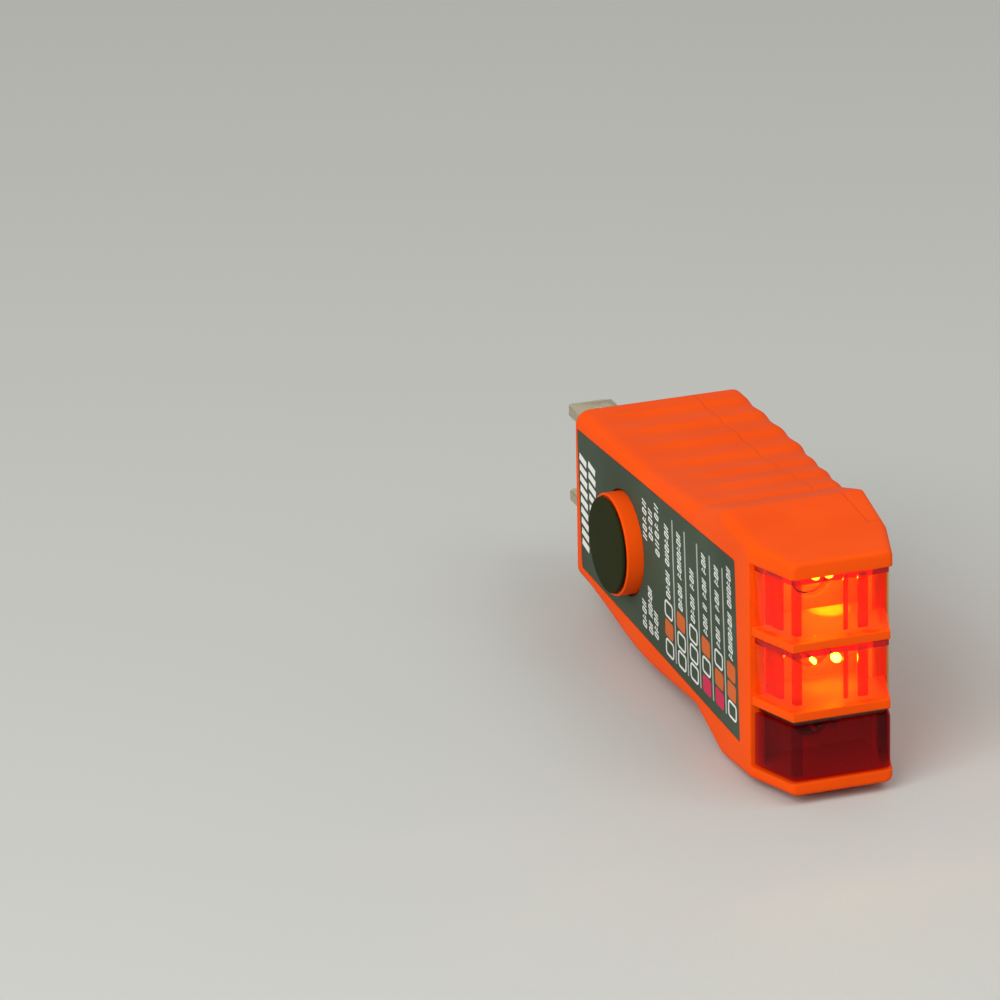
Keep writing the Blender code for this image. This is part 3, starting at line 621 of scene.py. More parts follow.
screwHold = {  # posts, columns and bores round the two case screws
    "place": 33.0 * mm,
    "half": 7.0 * mm,
    "post": 3.3 * mm,
    "postLength": 12.2 * mm,
    "spigot": 2.3 * mm,
    "column": 3.5 * mm,
    "bore": 1.4 * mm,
    "headBore": 2.5 * mm,
    "seat": 1.6 * mm,
    "pilot": 11.6 * mm,
}
ribShape = {
    "Start": 5.4 * mm,
    "Pitch": 6.83 * mm,
    "Depth": 0.36 * mm,
    "Fade": 9.0 * mm,
    "Label Side": labelX,
    "Grip Length": case["gripLength"],
    "Material": orange,
}
past = 5 * mm  # how far a cutter reaches past the case
nosePlace = length - case["noseLength"]
windowPlace = nosePlace + case["windowSetback"]
cellEnd = windowPlace - case["cellDepth"]
cavityEnd = cellEnd - case["bulkhead"]


def eased(s, stations):
    if s <= stations[0][0]:
        return stations[0][1]
    for (near, low), (far, high) in zip(stations, stations[1:]):
        if s <= far:
            t = (s - near) / (far - near)
            return low + (high - low) * t * t * (3 - 2 * t)
    return stations[-1][1]


def straight(s, stations):
    for (near, low), (far, high) in zip(stations, stations[1:]):
        if s <= far:
            return low + (high - low) * (s - near) / (far - near)
    return stations[-1][1]


def headHalf(s):
    places = (case["gripLength"], case["headPlace"], nosePlace, length)
    halves = [case[key] for key in ("ridgeHalf", "headHalf", "noseRootHalf", "noseHalf")]
    return straight(s, list(zip(places, halves)))


def gripHalf(s, share, middle):  # the widest or narrowest place is at that share of the grip
    end = case["gripLength"]
    stations = ((0.0, case["plugHalf"]), (share * end, middle), (end, case["neckHalf"]))
    return eased(s, stations)


def backX(s):
    grip = case["gripLength"]
    places = (0.0, 0.5 * grip, grip, case["headPlace"], nosePlace, length)
    keys = ("depth", "depth", "neckDepth", "headDepth", "noseRootDepth", "noseBack")
    return labelX + straight(s, [(place, case[key]) for place, key in zip(places, keys)])


def nearX(s):
    return labelX + straight(s, ((0.0, 0.0), (nosePlace, 0.0), (length, case["noseSlope"])))


sideCounts = (22, 24, 22, 18)  # steps along the top, the label side, the bottom and the back


def section(s, inset, head, radii):  # one ring of the case, its corners round
    if head:
        top = bottom = headHalf(s) - inset
    else:
        top = gripHalf(s, 0.5, case["waistHalf"]) - inset
        bottom = gripHalf(s, 0.58, case["swellHalf"]) - inset
    near, far = nearX(s) + inset, backX(s) - inset
    labelRadius, backRadius = radii
    corners = (
        (far - backRadius, top - backRadius, backRadius, 0),
        (near + labelRadius, top - labelRadius, labelRadius, 90),
        (near + labelRadius, labelRadius - bottom, labelRadius, 180),
        (far - backRadius, backRadius - bottom, backRadius, 270),
    )
    arcs = []
    for x, z, radius, start in corners:
        turns = [math.radians(start + 15 * k) for k in range(7)]
        points = [(x + radius * math.cos(t), -s, z + radius * math.sin(t)) for t in turns]
        arcs.append([Vector(point) for point in points])
    ring = []
    for i, arc in enumerate(arcs):
        ring += arc
        start, end = arc[-1], arcs[(i + 1) % 4][0]
        ring += [start.lerp(end, k / sideCounts[i]) for k in range(1, sideCounts[i])]
    return ring


def edgeRadii(s):
    grip, head, edge = case["gripLength"], case["headPlace"], case["headEdge"]
    stations = ((grip, case["labelEdge"]), (nosePlace, case["noseRootEdge"]), (length, edge))
    return eased(s, stations), eased(s, ((grip, case["backEdge"]), (head, edge)))


def hullRings():
    grip, edge, plugEdge = case["gripLength"], case["frontEdge"], case["plugEdge"]
    rings = []
    for k in range(4):  # rounded edge round the plug face
        angle = math.pi / 2 * k / 4
        inset = plugEdge * (1 - math.sin(angle))
        rings.append(section(plugEdge * (1 - math.cos(angle)), inset, False, edgeRadii(0.0)))
    steps = 104
    start, end = 0.45 * mm, grip - 0.25 * mm
    for k in range(steps + 1):
        s = start + (end - start) * k / steps
        rings.append(section(s, 0.0, False, edgeRadii(s)))
    for s in (grip + 0.15 * mm, grip + 0.4 * mm):
        rings.append(section(s, 0.0, True, edgeRadii(s)))
    stops = (grip + 0.8 * mm, case["headPlace"], nosePlace, length - edge)
    for near, far in zip(stops, stops[1:]):
        count = max(2, round((far - near) / (0.9 * mm)))
        for k in range(count):
            s = near + (far - near) * k / count
            rings.append(section(s, 0.0, True, edgeRadii(s)))
    for k in range(5):  # rounded edge round the nose
        angle = math.pi / 2 * k / 4
        s = length - edge + edge * math.sin(angle)
        rings.append(section(s, edge * (1 - math.cos(angle)), True, edgeRadii(s)))
    return rings


def ribTree():  # ribs across the top and the bottom of the grip, strongest towards the back
    floats = ("Start", "Pitch", "Depth", "Fade", "Label Side", "Grip Length")
    tree, graph, given = newTree("gripRibs", floats)
    start, pitch, depth = (given.other(label) for label in ("Start", "Pitch", "Depth"))
    x, y, z = graph.split(graph.add("GeometryNodeInputPosition"))
    turn = (-y - start) / pitch
    part = turn.fraction()
    rise = part.smooth(0.0, 0.66) - part.smooth(0.66, 0.97)
    along = (turn > -0.34) * ((-y) < given.other("Grip Length"))
    side = (x - given.other("Label Side")).smooth(0.2 * mm, given.other("Fade"))
    edge = abs(z).smooth(6 * mm, 10.5 * mm)
    drop = (1.0 - rise) * along * side * edge * depth * z.sign()
    offset = graph.add("ShaderNodeCombineXYZ", None, {2: -drop})
    moved = graph.add("GeometryNodeSetPosition", None, {"Geometry": given, "Offset": offset})
    endTree(graph, given, moved)
    return tree


ribs = ribTree()


def ribbedHull(name):
    return grow(fromBmesh(name, loft(hullRings()), orange), ribs, ribShape)


def cavityBody():
    wall, grip = case["wall"], case["gripLength"]
    radii = (0.6 * mm, 0.6 * mm)
    rings = []
    for k in range(24):
        s = wall + (grip - 2 * wall) * k / 23
        rings.append(section(s, wall + 0.4 * mm, False, radii))
    for s in (grip + wall, case["headPlace"], cavityEnd):
        rings.append(section(s, wall, True, radii))
    return loft(rings)


def nearWall(s, offset):  # plan line of the nose on the label side
    return labelX + offset + case["noseSlope"] * (s - nosePlace) / case["noseLength"]


def farWall(s, offset):  # the same on the back
    root, slope = case["noseRootDepth"], case["noseRootDepth"] - case["noseBack"]
    return labelX + root - offset - slope * (s - nosePlace) / case["noseLength"]


def noseEdge(offset, rear):  # plan line round the nose, as (x, s) pairs
    front = length - offset
    stops = ((nearWall, rear), (nearWall, front), (farWall, front), (farWall, rear))
    return [(wall(s, offset), s) for wall, s in stops]


def planPlace(a, b, c):
    return Vector((a, -b, c))


def lampPlace(window):
    low, high = windows[window]
    return labelX + (case["noseSlope"] + case["noseBack"]) / 2, (low + high) / 2


def windowCutters():
    inner = noseEdge(case["barRecess"], windowPlace)
    left, right, front = labelX - past, labelX + case["depth"], length + past
    outer = [(left, windowPlace), (left, front), (right, front), (right, windowPlace)]
    bottom, top = windows["red"][0], windows["upper"][1]
    cutters = [fromBmesh("cutField", prism(outer + inner[::-1], bottom, top, planPlace))]
    start = -windowPlace - mm
    near, far = labelX + case["cellSide"], backX(nosePlace) - case["cellSide"]
    for name, (low, high) in windows.items():
        pocket = box((left, -front, low), (right, -windowPlace, high))
        cutters.append(fromBmesh(f"cutWindow{name}", pocket))
        cell = box((near, start, low), (far, -cellEnd, high))
        cutters.append(fromBmesh(f"cutCell{name}", cell))
        place = alongY(*lampPlace(name))
        cutters.append(cylinder(f"cutLamp{name}", start, -cavityEnd + mm, case["lampBore"], place))
    return cutters


labelShape = {
    "plugHalf": 9.9 * mm,
    "headHalf": 12.5 * mm,
    "corner": 0.5 * mm,
    "margin": 0.12 * mm,
    "recess": 0.55 * mm,
    "thickness": 0.4 * mm,
    "drop": 0.02 * mm,
    "lean": 0.06,  # leans back by this share of its height
}
buttonShape = {
    "radius": 7.1 * mm,
    "ringDrop": 0.5 * mm,
    "rim": 0.4 * mm,
    "flange": 8.2 * mm,
    "stem": 1.8 * mm,
    "insertGap": 0.06 * mm,
    "insertEdge": 0.75 * mm,
    "travel": 1.6 * mm,
}


def labelPlace(a, b, c):
    return Vector((c, labelShape["lean"] * b - a, b))


def labelOutline(margin):
    start, end = -labelHigh.y - margin, -labelLow.y + margin
    near, far = labelShape["plugHalf"] + margin, labelShape["headHalf"] + margin
    corners = [(start, -near), (start, near), (end, far), (end, -far)]
    return roundedLoop(corners, labelShape["corner"])


def buttonCutter(name):
    radius = buttonShape["radius"] + gap
    return cylinder(name, labelX - mm, labelX + 3 * mm, radius, buttonAxis, 96)


def labelCutters():
    outline = labelOutline(labelShape["margin"])
    recess = prism(outline, labelX - mm, labelX + labelShape["recess"], labelPlace)
    return [fromBmesh("cutLabel", recess), buttonCutter("cutButton")]


def prongCutters():
    start = -4 * mm
    cutters = []
    for node in ("blade_hot", "blade_neutral"):
        low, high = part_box(node)
        slot = box((low.x - gap, start, low.z - gap), (high.x + gap, mm, high.z + gap))
        cutters.append(fromBmesh(f"cut_{node}", slot))
    low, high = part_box("ground_pin")
    x, _, z = centreOf("ground_pin")
    radius = (high.x - low.x) / 2 + gap
    cutters.append(cylinder("cutGround", start, mm, radius, alongY(x, z), 64))
    return cutters


def atScrews(name, profile):  # the same turned shape on the axis of each screw
    made = []
    for end, z in (("Upper", screwHold["half"]), ("Lower", -screwHold["half"])):
        place = alongX(-screwHold["place"], z)
        made.append(fromBmesh(f"{name}{end}", turned(profile, place, 48)))
    return made


def screwProfiles():  # (x, radius) pairs
    base = labelX + case["wall"] / 2
    shoulder = labelX + screwHold["postLength"]
    back = backX(screwHold["place"])
    seat = back - screwHold["seat"]
    keys = ("post", "spigot", "column", "bore", "headBore")
    post, spigot, column, bore, head = (screwHold[key] for key in keys)
    return {
        "post": ((base, post), (shoulder, post), (shoulder, spigot), (partingX + mm, spigot)),
        "column": ((partingX - mm, column), (back - mm, column)),
        "pilot": ((seat - screwHold["pilot"], bore), (partingX + 2 * mm, bore)),
        "bore": ((partingX - 2 * mm, bore), (seat, bore), (seat, head), (labelX + 30 * mm, head)),
    }


def partingBox(name, margin):  # all that lies behind the parting line
    low = (partingX + margin, margin - backEnd, -30 * mm)
    return fromBmesh(name, box(low, (labelX + 40 * mm, past, 30 * mm)))


def makeCase():
    cavity = fromBmesh("cutCavity", cavityBody())
    backSide = partingBox("cutBackSide", case["seam"] / 2)
    frontSide = partingBox("cutFrontSide", -case["seam"] / 2)
    prongs = prongCutters()
    profiles = screwProfiles()

    front = ribbedHull("caseFront")
    carve(front, "DIFFERENCE", cavity)
    carve(front, "UNION", *atScrews("post", profiles["post"]))
    carve(front, "DIFFERENCE", frontSide, *windowCutters(), *labelCutters(), *prongs)
    carve(front, "DIFFERENCE", *atScrews("pilot", profiles["pilot"]))
    used = settle(front)

    back = ribbedHull("caseBack")
    carve(back, "DIFFERENCE", cavity)
    carve(back, "UNION", *atScrews("column", profiles["column"]))
    carve(back, "INTERSECT", backSide)
    carve(back, "DIFFERENCE", prongs[-1], *atScrews("bore", profiles["bore"]))
    used += settle(back)
    clearAway(used)
    put(front, bodyName, "case_orange", "case_front")
    put(back, bodyName, "case_orange", "case_back")


makeCase()
print("case made")


def makeLabel():
    top, under = labelX + labelShape["drop"], labelX + labelShape["thickness"]
    outline = labelOutline(0.0)
    plate = fromBmesh("labelPlate", prism(outline, top, under, labelPlace), labelPaint)
    carve(plate, "DIFFERENCE", buttonCutter("cutLabelHole"))
    clearAway(settle(plate))
    put(plate, bodyName, "label", "label_plate")


makeLabel()


def markTree(name, outline):  # flat marks at points: solid, or a line round a rounded shape
    tree, graph, given = newTree(name, ("Width", "Height", "Slant", "Corner", "Line", "Ink"))
    rectangle = {"mode": "RECTANGLE"}
    size = {"Width": given.other("Width"), "Height": given.other("Height")}
    quad = graph.add("GeometryNodeCurvePrimitiveQuadrilateral", rectangle, size)
    fillet = {"Curve": quad, "Radius": given.other("Corner"), "Count": 4, "Limit Radius": True}
    path = graph.add("GeometryNodeFilletCurve", {"mode": "POLY"}, fillet)
    if outline:
        across = {"Width": given.other("Line"), "Height": given.other("Ink")}
        profile = graph.add("GeometryNodeCurvePrimitiveQuadrilateral", rectangle, across)
        swept = {"Curve": path, "Profile Curve": profile}
        mark = graph.add("GeometryNodeCurveToMesh", None, swept)
    else:
        flat = graph.add("GeometryNodeFillCurve", {"mode": "NGONS"}, {"Curve": path})
        rise = {"Mesh": flat, "Offset Scale": given.other("Ink"), "Individual": False}
        raised = graph.add("GeometryNodeExtrudeMesh", None, rise)
        under = graph.add("GeometryNodeFlipFaces", None, {"Mesh": flat})
        both = graph.add("GeometryNodeJoinGeometry")
        for part in (raised, under):
            graph.tree.links.new(part.socket, both.node.inputs[0])
        closed = {"Geometry": both, "Distance": 0.001 * mm}
        mark = graph.add("GeometryNodeMergeByDistance", None, closed)
    turn = graph.add("ShaderNodeCombineXYZ", None, {2: given.other("Slant")})
    spread = {"Points": given, "Instance": mark, "Rotation": turn}
    endTree(graph, given, graph.add("GeometryNodeInstanceOnPoints", None, spread))
    return tree


solidMarks = markTree("solidMarks", False)
lineMarks = markTree("lineMarks", True)
lean = labelShape["lean"]
labelMatrix = Matrix(((0, 0, -1, labelX), (-1, lean, 0, 0), (0, 1, 0, 0), (0, 0, 0, 1)))
inkHeight = 0.03 * mm


def printMarks(name, tree, points, ink, size, slant=0.0, corner=0.02 * mm, line=0.0):
    source = pointsObject(name, [(s, z, 0.0) for s, z in points])
    values = {
        "Width": size[0],
        "Height": size[1],
        "Slant": slant,
        "Corner": corner,
        "Line": line,
        "Ink": inkHeight * (2 if line else 1),
        "Material": ink,
    }
    piece = grow(source, tree, values)
    piece.data.transform(labelMatrix)
    put(piece, bodyName, "label")


chart = {  # millimetres, rows from the plug face and heights from the middle
    "rows": (36.0, 40.65, 45.3, 50.0, 54.7, 59.3),
    "marks": ("oxo", "xoo", "ooo", "xor", "oxr", "xxo"),  # from the top: open, orange or red
    "markHeights": (-3.65, -6.4, -9.1),
    "markWidth": 3.05,
    "markHeight": 2.4,
    "markCorner": 0.5,
    "markLine": 0.3,
    "markSlant": -0.06,
    "wordStart": -1.9,
    "wordEnds": (8.5, 9.0, 5.6, 9.4, 9.4, 10.9),
    "words": ((4, 6), (4, 7), (4, 3), (3, 1, 3, 3), (3, 1, 3, 3), (7, 6)),  # letters in each word
    "rules": (38.35, 42.95, 47.6, 52.3, 57.0),
    "ruleMiddle": -0.2,
    "ruleWidth": 0.42,
    "ruleLength": 20.2,
}
letter = {
    "height": 1.5,
    "boxWidth": 0.5,
    "boxCorner": 0.12,
    "stroke": 0.21,
    "dash": 0.52,
    "dashRise": 0.3,
    "slant": -0.2,  # radians
}
smallWords = (  # middle, start and end of each short line near the button, with its letters
    (27.6, 3.4, 9.2, (5,)),
    (29.9, 4.1, 8.6, (4,)),
    (32.3, 2.6, 10.2, (6,)),
    (26.4, -9.5, -5.5, (4,)),
    (28.8, -9.5, -2.9, (2, 5)),
    (30.9, -9.5, -5.6, (4,)),
)
emblem = {"rows": (3.4, 6.9), "from": -6.9, "to": 6.9, "bars": 9, "height": 2.7, "bar": 0.95}


def letters(middle, start, end, words, found):  # invented: boxes, strokes and crossed strokes
    step = (end - start) / (sum(words) + 0.8 * (len(words) - 1))
    rise = letter["dashRise"]
    place = start
    for count in words:
        for k in range(count):
            kind = (3 * k + count) % 4
            z = place + (k + 0.42) * step
            if kind in (0, 2):
                found["boxes"].append((middle, z))
            if kind == 1:
                found["strokes"] += [(middle, z - 0.22 * step), (middle, z + 0.22 * step)]
            if kind == 3:
                found["strokes"].append((middle, z - 0.2 * step))
                found["dashes"] += [(middle - rise, z + 0.05), (middle + rise, z + 0.05)]
        place += (count + 0.8) * step


def metres(pairs):
    return [(a * mm, b * mm) for a, b in pairs]


def makePrint():
    white = mouldedPlastic("whiteInk", whiteInk)
    pale = mouldedPlastic("ruleInk", ruleInk)
    inks = {"x": mouldedPlastic("orangeInk", orangeInk), "r": mouldedPlastic("redInk", redInk)}
    found = {"o": [], "x": [], "r": []}
    for s, marks in zip(chart["rows"], chart["marks"]):
        for mark, z in zip(marks, chart["markHeights"]):
            found[mark].append((s, z))
    found = {mark: metres(pairs) for mark, pairs in found.items()}
    size = (chart["markWidth"] * mm, chart["markHeight"] * mm)
    line = chart["markLine"] * mm
    inner = (size[0] - line, size[1] - line)
    slant, corner = chart["markSlant"], chart["markCorner"] * mm
    printMarks("printOpenMarks", lineMarks, found["o"], white, inner, slant, corner, line)
    printMarks("printOrangeMarks", solidMarks, found["x"], inks["x"], size, slant, corner)
    printMarks("printRedMarks", solidMarks, found["r"], inks["r"], size, slant, corner)
    rules = metres([(s, chart["ruleMiddle"]) for s in chart["rules"]])
    size = (chart["ruleWidth"] * mm, chart["ruleLength"] * mm)
    printMarks("printRules", solidMarks, rules, pale, size)

    shapes = {"boxes": [], "strokes": [], "dashes": []}
    for s, end, words in zip(chart["rows"], chart["wordEnds"], chart["words"]):
        letters(s, chart["wordStart"], end, words, shapes)
    for middle, start, end, words in smallWords:
        letters(middle, start, end, words, shapes)
    shapes = {kind: metres(pairs) for kind, pairs in shapes.items()}
    slant, tall, thin = letter["slant"], letter["height"] * mm, letter["stroke"] * mm
    size, corner = (tall - thin, letter["boxWidth"] * mm), letter["boxCorner"] * mm
    printMarks("printBoxes", lineMarks, shapes["boxes"], white, size, slant, corner, thin)
    printMarks("printStrokes", solidMarks, shapes["strokes"], white, (tall, thin), slant)
    size = (thin, letter["dash"] * mm)
    printMarks("printDashes", solidMarks, shapes["dashes"], white, size, slant)
    step = (emblem["to"] - emblem["from"]) / emblem["bars"]
    across = [emblem["from"] + (k + 0.5) * step for k in range(emblem["bars"])]
    bars = metres([(s, z) for s in emblem["rows"] for z in across])
    size = (emblem["height"] * mm, emblem["bar"] * mm)
    printMarks("printEmblem", solidMarks, bars, white, size, slant)


makePrint()
print("label made")


def makeButton():
    insertLow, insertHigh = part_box("button_insert")
    buttonLow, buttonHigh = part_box("button_cap")
    keys = ("radius", "rim", "flange", "stem")
    radius, rim, wing, stem = (buttonShape[key] for key in keys)
    top = buttonLow.x + buttonShape["ringDrop"]
    floor = insertHigh.x + gap
    front = labelX + case["wall"] + gap
    back, end = front + mm, buttonHigh.x
    ring = ((floor, radius - rim), (top, radius - rim), (top, radius), (front, radius))
    flange = ((front, radius), (front, wing), (back, wing), (back, stem))
    profile = [(floor, 0.0), (floor, radius - rim)]
    profile += rounded(ring, 0.16 * mm)[1:]
    profile += rounded(flange, 0.2 * mm)[1:]
    profile += rounded(((back, stem), (end, stem), (end, 0.0)), 0.3 * mm)[1:]
    cap = turned(profile, buttonAxis)
    smoothPiece("buttonCap", cap, orange, 35, "case_orange", "button_cap", body=buttonName)

    radius = radius - rim - buttonShape["insertGap"]
    front, back = insertLow.x, insertHigh.x
    face = ((front, 0.3 * radius), (front, radius), (back, radius), (back, 0.0))
    disc = turned([(front, 0.0)] + rounded(face, buttonShape["insertEdge"]), buttonAxis)
    slot = node = "button_insert"
    smoothPiece("buttonInsert", disc, insertPlastic, 50, slot, node, body=buttonName)
    refined("contact_bridge", "contactBridge", 0.12 * mm, contactMetal, "brass", body=buttonName)


def coilTree():
    tree, graph, given = newTree("springCoil", ("Radius", "Length", "Turns", "Wire"))
    spiral = {
        "Resolution": 48,
        "Rotations": given.other("Turns"),
        "Start Radius": given.other("Radius"),
        "End Radius": given.other("Radius"),
        "Height": given.other("Length"),
    }
    path = graph.add("GeometryNodeCurveSpiral", None, spiral)
    ring = {"Resolution": 14, "Radius": given.other("Wire")}
    circle = graph.add("GeometryNodeCurvePrimitiveCircle", None, ring)
    swept = {"Curve": path, "Profile Curve": circle, "Fill Caps": True}
    endTree(graph, given, graph.add("GeometryNodeCurveToMesh", None, swept))
    return tree


def makeSpring():
    low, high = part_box("button_spring")
    wire = 0.3 * mm
    long = high.x - low.x
    values = {
        "Radius": (high.z - low.z) / 2 - wire,
        "Length": long - 2 * wire,
        "Turns": 4.0,
        "Wire": wire,
        "Material": screwSteel,
    }
    spring = grow(pointsObject("buttonSpring", []), coilTree(), values)
    place = Matrix.Translation((low.x + wire, buttonY, buttonZ))
    spring.data.transform(place @ Matrix.Rotation(math.pi / 2, 4, "Y"))
    put(spring, bodyName, "steel", "button_spring")
    anchor, keep = (high.x, buttonY, buttonZ), (long - buttonShape["travel"]) / long
    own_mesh(spring)
    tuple(anchor)


makeButton()
makeSpring()
print("button made")


lensShape = {
    "wall": 1.3 * mm,
    "amberRecess": 0.45 * mm,
    "redRecess": 0.3 * mm,
    "roof": 0.9 * mm,
    "ledge": 0.9 * mm,
    "setback": 0.7 * mm,
    "corner": 0.35 * mm,
    "innerCorner": 0.3 * mm,
    "topGap": 0.08 * mm,
}
lensRibs = {  # millimetres
    "side": ((66.5, 67.1), (67.6, 69.4)),  # from the plug face
    "front": ((-1.1, -0.5), (0.9, 2.3)),  # across, from the frame's origin
    "gap": 0.03,
    "depth": 0.5,
    "post": 0.9,
    "redPost": 1.0,
    "redGap": 0.05,
}


def lensOutline(recess):
    rear = windowPlace + gap
    outer = rounded(noseEdge(recess, rear), lensShape["corner"], 4)
    inner = rounded(noseEdge(recess + lensShape["wall"], rear), lensShape["innerCorner"], 4)
    return outer + inner[::-1]


def ribOutlines():
    start = lensShape["amberRecess"] + lensShape["wall"] + lensRibs["gap"] * mm
    end = start + lensRibs["depth"] * mm
    outlines = []
    for low, high in metres(lensRibs["side"]):
        stops = ((start, low), (start, high), (end, high), (end, low))
        outlines.append([(nearWall(s, offset), s) for offset, s in stops])
    for low, high in metres(lensRibs["front"]):
        near, far = length - start, length - end
        outlines.append([(low, near), (high, near), (high, far), (low, far)])
    corner, post = length - start, lensRibs["post"] * mm
    near = nearWall(corner, start)
    rear = (nearWall(corner - post, start), corner - post)
    outlines.append([rear, (near, corner), (near + post, corner), (near + post, corner - post)])
    return outlines


def makeAmberLenses():
    recess = lensShape["amberRecess"]
    cover = rounded(noseEdge(recess, windowPlace + gap), lensShape["corner"], 4)
    for window in ("upper", "lower"):
        low, high = windows[window]
        low, high = low + gap, high - lensShape["topGap"]
        roof = high - lensShape["roof"]
        name, node = window.capitalize(), lenses[window]
        walls = prism(lensOutline(recess), low, roof - 0.02 * mm, planPlace)
        softPiece(f"amberLens{name}", walls, amberPlastic, 0.12 * mm, "amber_lens", node)
        bottom, top = low + 0.1 * mm, roof - 0.05 * mm
        parts = [prism(outline, bottom, top, planPlace) for outline in ribOutlines()]
        parts.append(prism(cover, roof, high, planPlace))
        softPiece(f"amberRibs{name}", joined(parts), ribPlastic, 0.1 * mm, "amber_lens")


def makeRedLens():
    low, high = windows["red"]
    recess, edge = lensShape["redRecess"], 0.08 * mm
    ledge = high - lensShape["ledge"]
    walls = prism(lensOutline(recess), low + gap, ledge, planPlace)
    softPiece("redLens", walls, redPlastic, 0.25 * mm, "red_lens", "lens_red", segments=3)
    outline = lensOutline(recess + lensShape["setback"])
    # the ledge strip gets the painted-shade dark brown finish
    strip = prism(outline, ledge + 0.02 * mm, high - lensShape["topGap"], planPlace)
    softPiece("redLensLedge", strip, paintedShadeLedgePlastic, edge, "red_lens")
    size, offset = lensRibs["redPost"] * mm, recess + lensShape["wall"] + lensRibs["redGap"] * mm
    corner = length - offset
    near = nearWall(corner, offset)
    rear, far = (near - 0.35 * mm, corner - size), near + size
    outline = [rear, (near, corner), (far, corner), (far, corner - size)]
    post = prism(outline, low + 0.4 * mm, ledge - 0.1 * mm, planPlace)
    softPiece("redLensRibs", post, redPlastic, edge, "red_lens")


lampShape = {
    "collar": 0.62,  # shares of the glass's radius
    "tip": 0.8,
    "collarLength": 1.0 * mm,
    "rod": 0.3 * mm,
    "beads": ((-1.2, 0.0, 0.28), (1.95, 0.0, 0.58)),  # across, up and radius of the lit ends, mm
    "upperBeads": ((-0.95, 1.75, 0.60), (0.95, 1.75, 0.60)),
    "beadLength": 1.1 * mm,
    "beadPlace": 0.9 * mm,
    "strength": 190.0,
    "colour": (1.0, 0.80, 0.012),
}
paintedPoolShape = {  # painted pool of lamp light: a glowing disc on the floor of the upper cell, not a lamp of its own
    "across": 2.2 * mm,
    "front": 0.6 * mm,
    "halfWidth": 3.2 * mm,
    "halfLength": 3.6 * mm,
    "strength": 2.2,
    "colour": (1.0, 0.27, 0.0),
}


def glowMaterial(name, look, middle=None):
    constants = {"Emission Strength": look["strength"], "Roughness": 0.4}
    made, graph, shader = newMaterial(name, constants)
    where = graph.place()
    patch = graph.noise(where, 0.6 * mm)
    tone = graph.mixColour(patch.smooth(0.3, 0.7), look["colour"], dimmed(look["colour"], 0.8))
    graph.feed(shader, {"Base Color": tone, "Emission Color": tone})
    if middle:  # clear towards its outline
        across, along, _ = graph.split(where)
        across = (across - middle[0]) / look["halfWidth"]
        along = (along - middle[1]) / look["halfLength"]
        outward = (across * across + along * along).smooth(0.0, 0.95)
        clear = graph.add("ShaderNodeBsdfTransparent")
        surface = graph.mixShader(outward, Term(graph, shader), clear)
        graph.feed(made.node_tree.nodes["Material Output"], {"Surface": surface})
    return made


def makePaintedPool(x):
    width, reach = paintedPoolShape["halfWidth"], paintedPoolShape["halfLength"]
    middle = (x + paintedPoolShape["across"], -cellEnd - paintedPoolShape["front"])
    outline = []
    for k in range(48):
        angle = 2 * math.pi * k / 48
        y = middle[1] + reach * math.sin(angle)
        outline.append((middle[0] + width * math.cos(angle), min(y, -cellEnd - 0.02 * mm)))
    floor = windows["upper"][0]
    build = prism(outline, floor + 0.02 * mm, floor + 0.06 * mm, asGiven)
    # painted light: this emitting disc fades clear towards its outline and stands in for the lamp's
    # light on the cell floor
    pool = fromBmesh("lampPool", build, glowMaterial("lampSoftGlow", paintedPoolShape, middle))
    put(pool, bodyName, "lamp_glass")


def makeLamps():
    glow = glowMaterial("lampGlow", lampShape)
    rod, collarLength = lampShape["rod"], lampShape["collarLength"]
    for name, node in (("Upper", "lamp_upper"), ("Middle", "lamp_middle"), ("Lower", "lamp_lower")):
        lit = name != "Lower"
        low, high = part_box(node)
        x, _, z = centreOf(node)
        radius = (high.x - low.x) / 2
        tip, base = low.y, high.y
        collar, cap = lampShape["collar"] * radius, lampShape["tip"] * radius
        side = [(base, 0.0), (base, collar), (base - collarLength, radius), (tip + cap, radius)]
        profile = rounded(side, 0.5 * mm) + dome(tip + cap, -cap, radius, 8)
        glass = turned(profile, alongY(x, z), 48)
        slot = "lamp_glass" if lit else "lamp_dark_glass"
        smoothPiece(f"lamp{name}", glass, lampGlass, 60, slot, node)

        rods, beads = [], []
        end = tip + lampShape["beadPlace"]
        back = end + lampShape["beadLength"]
        start, stop = base - 0.6 * mm, back + 0.05 * mm
        for across, rise, size in lampShape["upperBeads" if name == "Upper" else "beads"]:
            place = alongY(x + across * mm, z + rise * mm)
            rods.append(turned(((start, 0.0), (start, rod), (stop, rod), (stop, 0.0)), place, 20))
            bead = [(back, 0.0), (back, size * mm), (end, size * mm), (end, 0.0)]
            beads.append(turned(rounded(bead, 0.25 * mm), place, 32))
        smoothPiece(f"lampRods{name}", joined(rods), screwSteel, 40, "steel")
        if name == "Upper":
            makePaintedPool(x)

        front, step, rear = base - 0.5 * mm, base - 1.3 * mm, base - 1.9 * mm
        seat = [(front, 0.0), (front, 1.5 * mm), (step, 0.86 * radius)]
        seat += [(rear, 0.9 * radius), (rear, 0.0)]
        filler = turned(rounded(seat, 0.1 * mm), alongY(x, z), 48)
        finish = (orange, 40, "case_orange") if lit else (blockPlastic, 40, "block_plastic")
        smoothPiece(f"lampSeat{name}", filler, *finish)
        finish = (glow, 40, "lamp_glass") if lit else (screwSteel, 40, "steel")
        smoothPiece(f"lampTips{name}", joined(beads), *finish)


makeAmberLenses()
makeRedLens()
makeLamps()
print("windows and lamps made")

prongShape = {
    "edge": 0.22 * mm,
    "tail": 1.0 * mm,  # radius of the pin inside the block
    "shoulder": -2.0 * mm,
    "tailEdge": 0.15 * mm,
}


